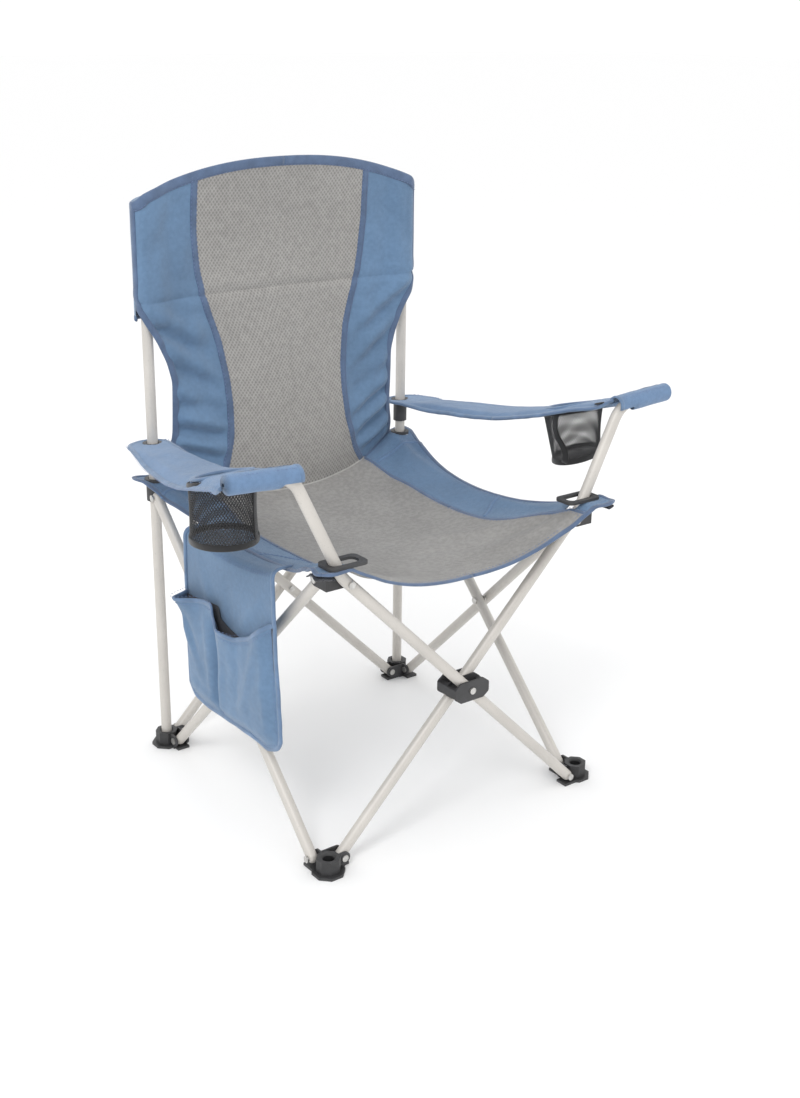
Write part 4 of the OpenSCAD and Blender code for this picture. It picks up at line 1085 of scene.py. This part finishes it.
def pocket_high(y):
    return seat_height(np.full_like(y, -SIDE_EDGE), y) - 0.0005


def mouth(y):
    return curve(y, [-0.155, -0.135, -0.100, -0.064, -0.030, -0.0045, -0.0035, 0.02, 0.06, 0.095],
                 [0.349, 0.340, 0.312, 0.298, 0.303, 0.311, 0.327, 0.325, 0.319, 0.316], 0.004)


def pocket_y(share, z):
    """From the panel's rear edge, share 0, to its front edge, share 1."""
    rear = np.interp(z, [0.15, 0.30, 0.42], [0.090, 0.092, 0.094])
    front = np.interp(z, [0.15, 0.20, 0.42], [-0.157, -0.155, -0.138])
    return rear + (front - rear) * share


def side_pocket():
    body, rests = "front_left_corner", ["corner_rivets_left", "seat_front_left"]

    def trim(piece, slot="blue_binding"):
        fit(piece, body, POCKET_KEEP)

    share, up = np.meshgrid(np.linspace(0, 1, POCKET_COLUMNS + 1), np.linspace(0, 1, POCKET_ROWS + 1))
    z = 0.3 + 0 * up
    for _ in range(6):
        y = pocket_y(share, z)
        z = pocket_low(y) + up * (pocket_high(y) - pocket_low(y))
    reach, bend = abs(POCKET_X) - SIDE_EDGE - 0.002, 0.010
    over = np.clip((up - 0.86) / 0.14, 0, 1)
    turn = np.clip(over / 0.4, 0, 1) * math.pi / 2
    flat_run = np.clip((over - 0.4) / 0.6, 0, 1) * (reach - bend)
    z = np.where(over > 0, pocket_high(y) - bend + bend * np.sin(turn),
                 pocket_low(y) + up / 0.86 * (pocket_high(y) - bend - pocket_low(y)))
    x = POCKET_X + bend * (1 - np.cos(turn)) + flat_run
    panel = np.stack([x, y, z], 2)
    crumple = smooth((0.86 - up) / 0.2)
    panel[..., 0] -= crumple * (0.0012 + 0.0012 * ripple(panel, 18, (1, 1, 1), 6.0) + 0.0006 * ripple(panel, 50, (1, 1, 1), 2.0))
    panel[..., 0] -= crumple * folds(y, z, [(-0.13, 0.40, -0.05, 0.30, 0.010, 0.0022), (0.06, 0.39, 0.02, 0.30, 0.012, 0.0020), (-0.02, 0.39, -0.03, 0.31, 0.010, -0.0012)]).clip(-0.0008, 1)
    out = normals_of(panel)
    if out[POCKET_ROWS // 2, 10, 0] > 0:
        out = -out
    sheet, sheet_n = oriented(panel, out)
    back = fit(cloth("pocket_panel", sheet, sheet_n, CLOTH, BLUE), body, POCKET_KEEP)
    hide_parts("side_pocket")

    # the pouch in front of it: two compartments with a seam between them
    share, up = np.meshgrid(np.linspace(0, 1, 2 * POCKET_COLUMNS + 1), np.linspace(0, 1, POCKET_ROWS + 1))
    z = 0.25 + 0 * up
    for _ in range(6):
        y = pocket_y(share, z)
        z = pocket_low(y) + up * (mouth(y) - pocket_low(y))
    divider = -0.004
    edge = np.minimum(smooth(share / 0.10), smooth((1 - share) / 0.10)) * smooth(up / 0.16)
    seam = 1 - 0.80 * np.exp(-(((y - divider) / 0.007) ** 2)) * smooth((0.96 - up) / 0.2)
    full = 0.0105 + 0.0020 * np.sin(up * 2.6)
    puff = full * edge * seam
    flare = 0.022 * np.exp(-(((y - 0.070) / 0.024) ** 2)) * smooth(share / 0.09) * up ** 5 + 0.013 * np.exp(-(((y + 0.036) / 0.024) ** 2)) * up ** 5
    pouch = np.stack([POCKET_X - 0.0030 - puff - flare, y, z], 2)
    pouch[..., 0] -= edge * (0.0016 * ripple(pouch, 20, (1, 1, 1), 3.0) + 0.0009 * ripple(pouch, 48, (1, 1, 1), 7.0))
    pouch[..., 0] -= edge * folds(y, z, [(0.085, 0.29, 0.03, 0.20, 0.009, 0.0030), (0.07, 0.31, 0.045, 0.23, 0.008, -0.0026), (0.02, 0.31, 0.01, 0.20, 0.008, 0.0020),
                                         (-0.03, 0.29, -0.02, 0.19, 0.009, 0.0026), (-0.07, 0.29, -0.06, 0.18, 0.010, -0.0022), (-0.12, 0.32, -0.08, 0.20, 0.010, 0.0028),
                                         (-0.14, 0.26, -0.04, 0.175, 0.009, 0.0024), (0.07, 0.19, -0.02, 0.172, 0.008, 0.0020)])
    out = normals_of(pouch)
    if out[POCKET_ROWS // 2, 10, 0] > 0:
        out = -out
    sheet_b, sheet_bn = oriented(pouch, out)
    front = fit(cloth("pocket_pouch", sheet_b, sheet_bn, CLOTH, BLUE), body, POCKET_KEEP)

    # painted shade: a near-black sheet inside the pouch, behind its mouth, that darkens the inside of the pocket
    shade_sheet = np.stack([panel[..., 0] - 0.0017 + 0 * z[:, ::2], panel[..., 1], panel[..., 2]], 2)
    low_z, high_z = pocket_low(panel[..., 1]) + 0.07, mouth(panel[..., 1]) - 0.003
    level = np.linspace(0, 1, POCKET_ROWS + 1)[:, None]
    ly = panel[POCKET_ROWS // 2][None, :, 1] + 0 * level
    ly = 0.092 + (ly - ly[:, :1]) * 0.985 - 0.002
    low_z, high_z = pocket_low(ly) + 0.07, mouth(ly) - 0.003
    lz = low_z + (high_z - low_z) * level
    shade_sheet = np.stack([np.full_like(ly, POCKET_X - 0.0042), ly, lz], 2)
    shade_sheet_n = np.tile(np.array([-1.0, 0, 0]), (*ly.shape, 1))
    dark, dark_n = oriented(shade_sheet, shade_sheet_n)
    inside = fit(cloth("pocket_painted_shade", dark, dark_n, 0.0008, SHADE_CLOTH), body, POCKET_KEEP)

    n = out
    trim(tape("pocket_mouth", pouch[-1], n[-1], 0.0070, 0.0036, ARM_TAPE, 0.0, step=0.003))
    trim(stitches("pocket_mouth_thread", pouch[-1], n[-1], (0.0070, -0.0070), 0.0011, THREAD))
    k = int(np.argmin(np.abs(pouch[POCKET_ROWS // 2, :, 1] - divider)))
    trim(stitches("pocket_divider_thread", pouch[2:-1, k], n[2:-1, k], (-0.0012, 0.0012), 0.0011, THREAD))
    panel_n = normals_of(panel)
    if panel_n[POCKET_ROWS // 2, 10, 0] > 0:
        panel_n = -panel_n
    rim = np.concatenate([panel[::-1, 0], panel[0, 1:], panel[1:, -1]])
    rim_n = np.concatenate([panel_n[::-1, 0], panel_n[0, 1:], panel_n[1:, -1]])
    rim = rim + rim_n * 0.0014
    trim(tape("pocket_edge", rim, rim_n, 0.0070, 0.0046, ARM_TAPE, 0.0, step=0.004))
    inner_rim = np.concatenate([pouch[::-1, 3], pouch[2, 4:-4], pouch[1:, -4]])
    inner_n = np.concatenate([n[::-1, 3], n[2, 4:-4], n[1:, -4]])
    trim(stitches("pocket_edge_thread", inner_rim, inner_n, (0.0,), 0.0011, THREAD))
    line = panel[-8, 2:-2]
    trim(stitches("pocket_top_thread", line, panel_n[-8, 2:-2], (0.0015, -0.0015), 0.0011, THREAD))
    declare(back, sheet)
    declare(front, sheet_b)
    declare(inside, dark)


side_pocket()
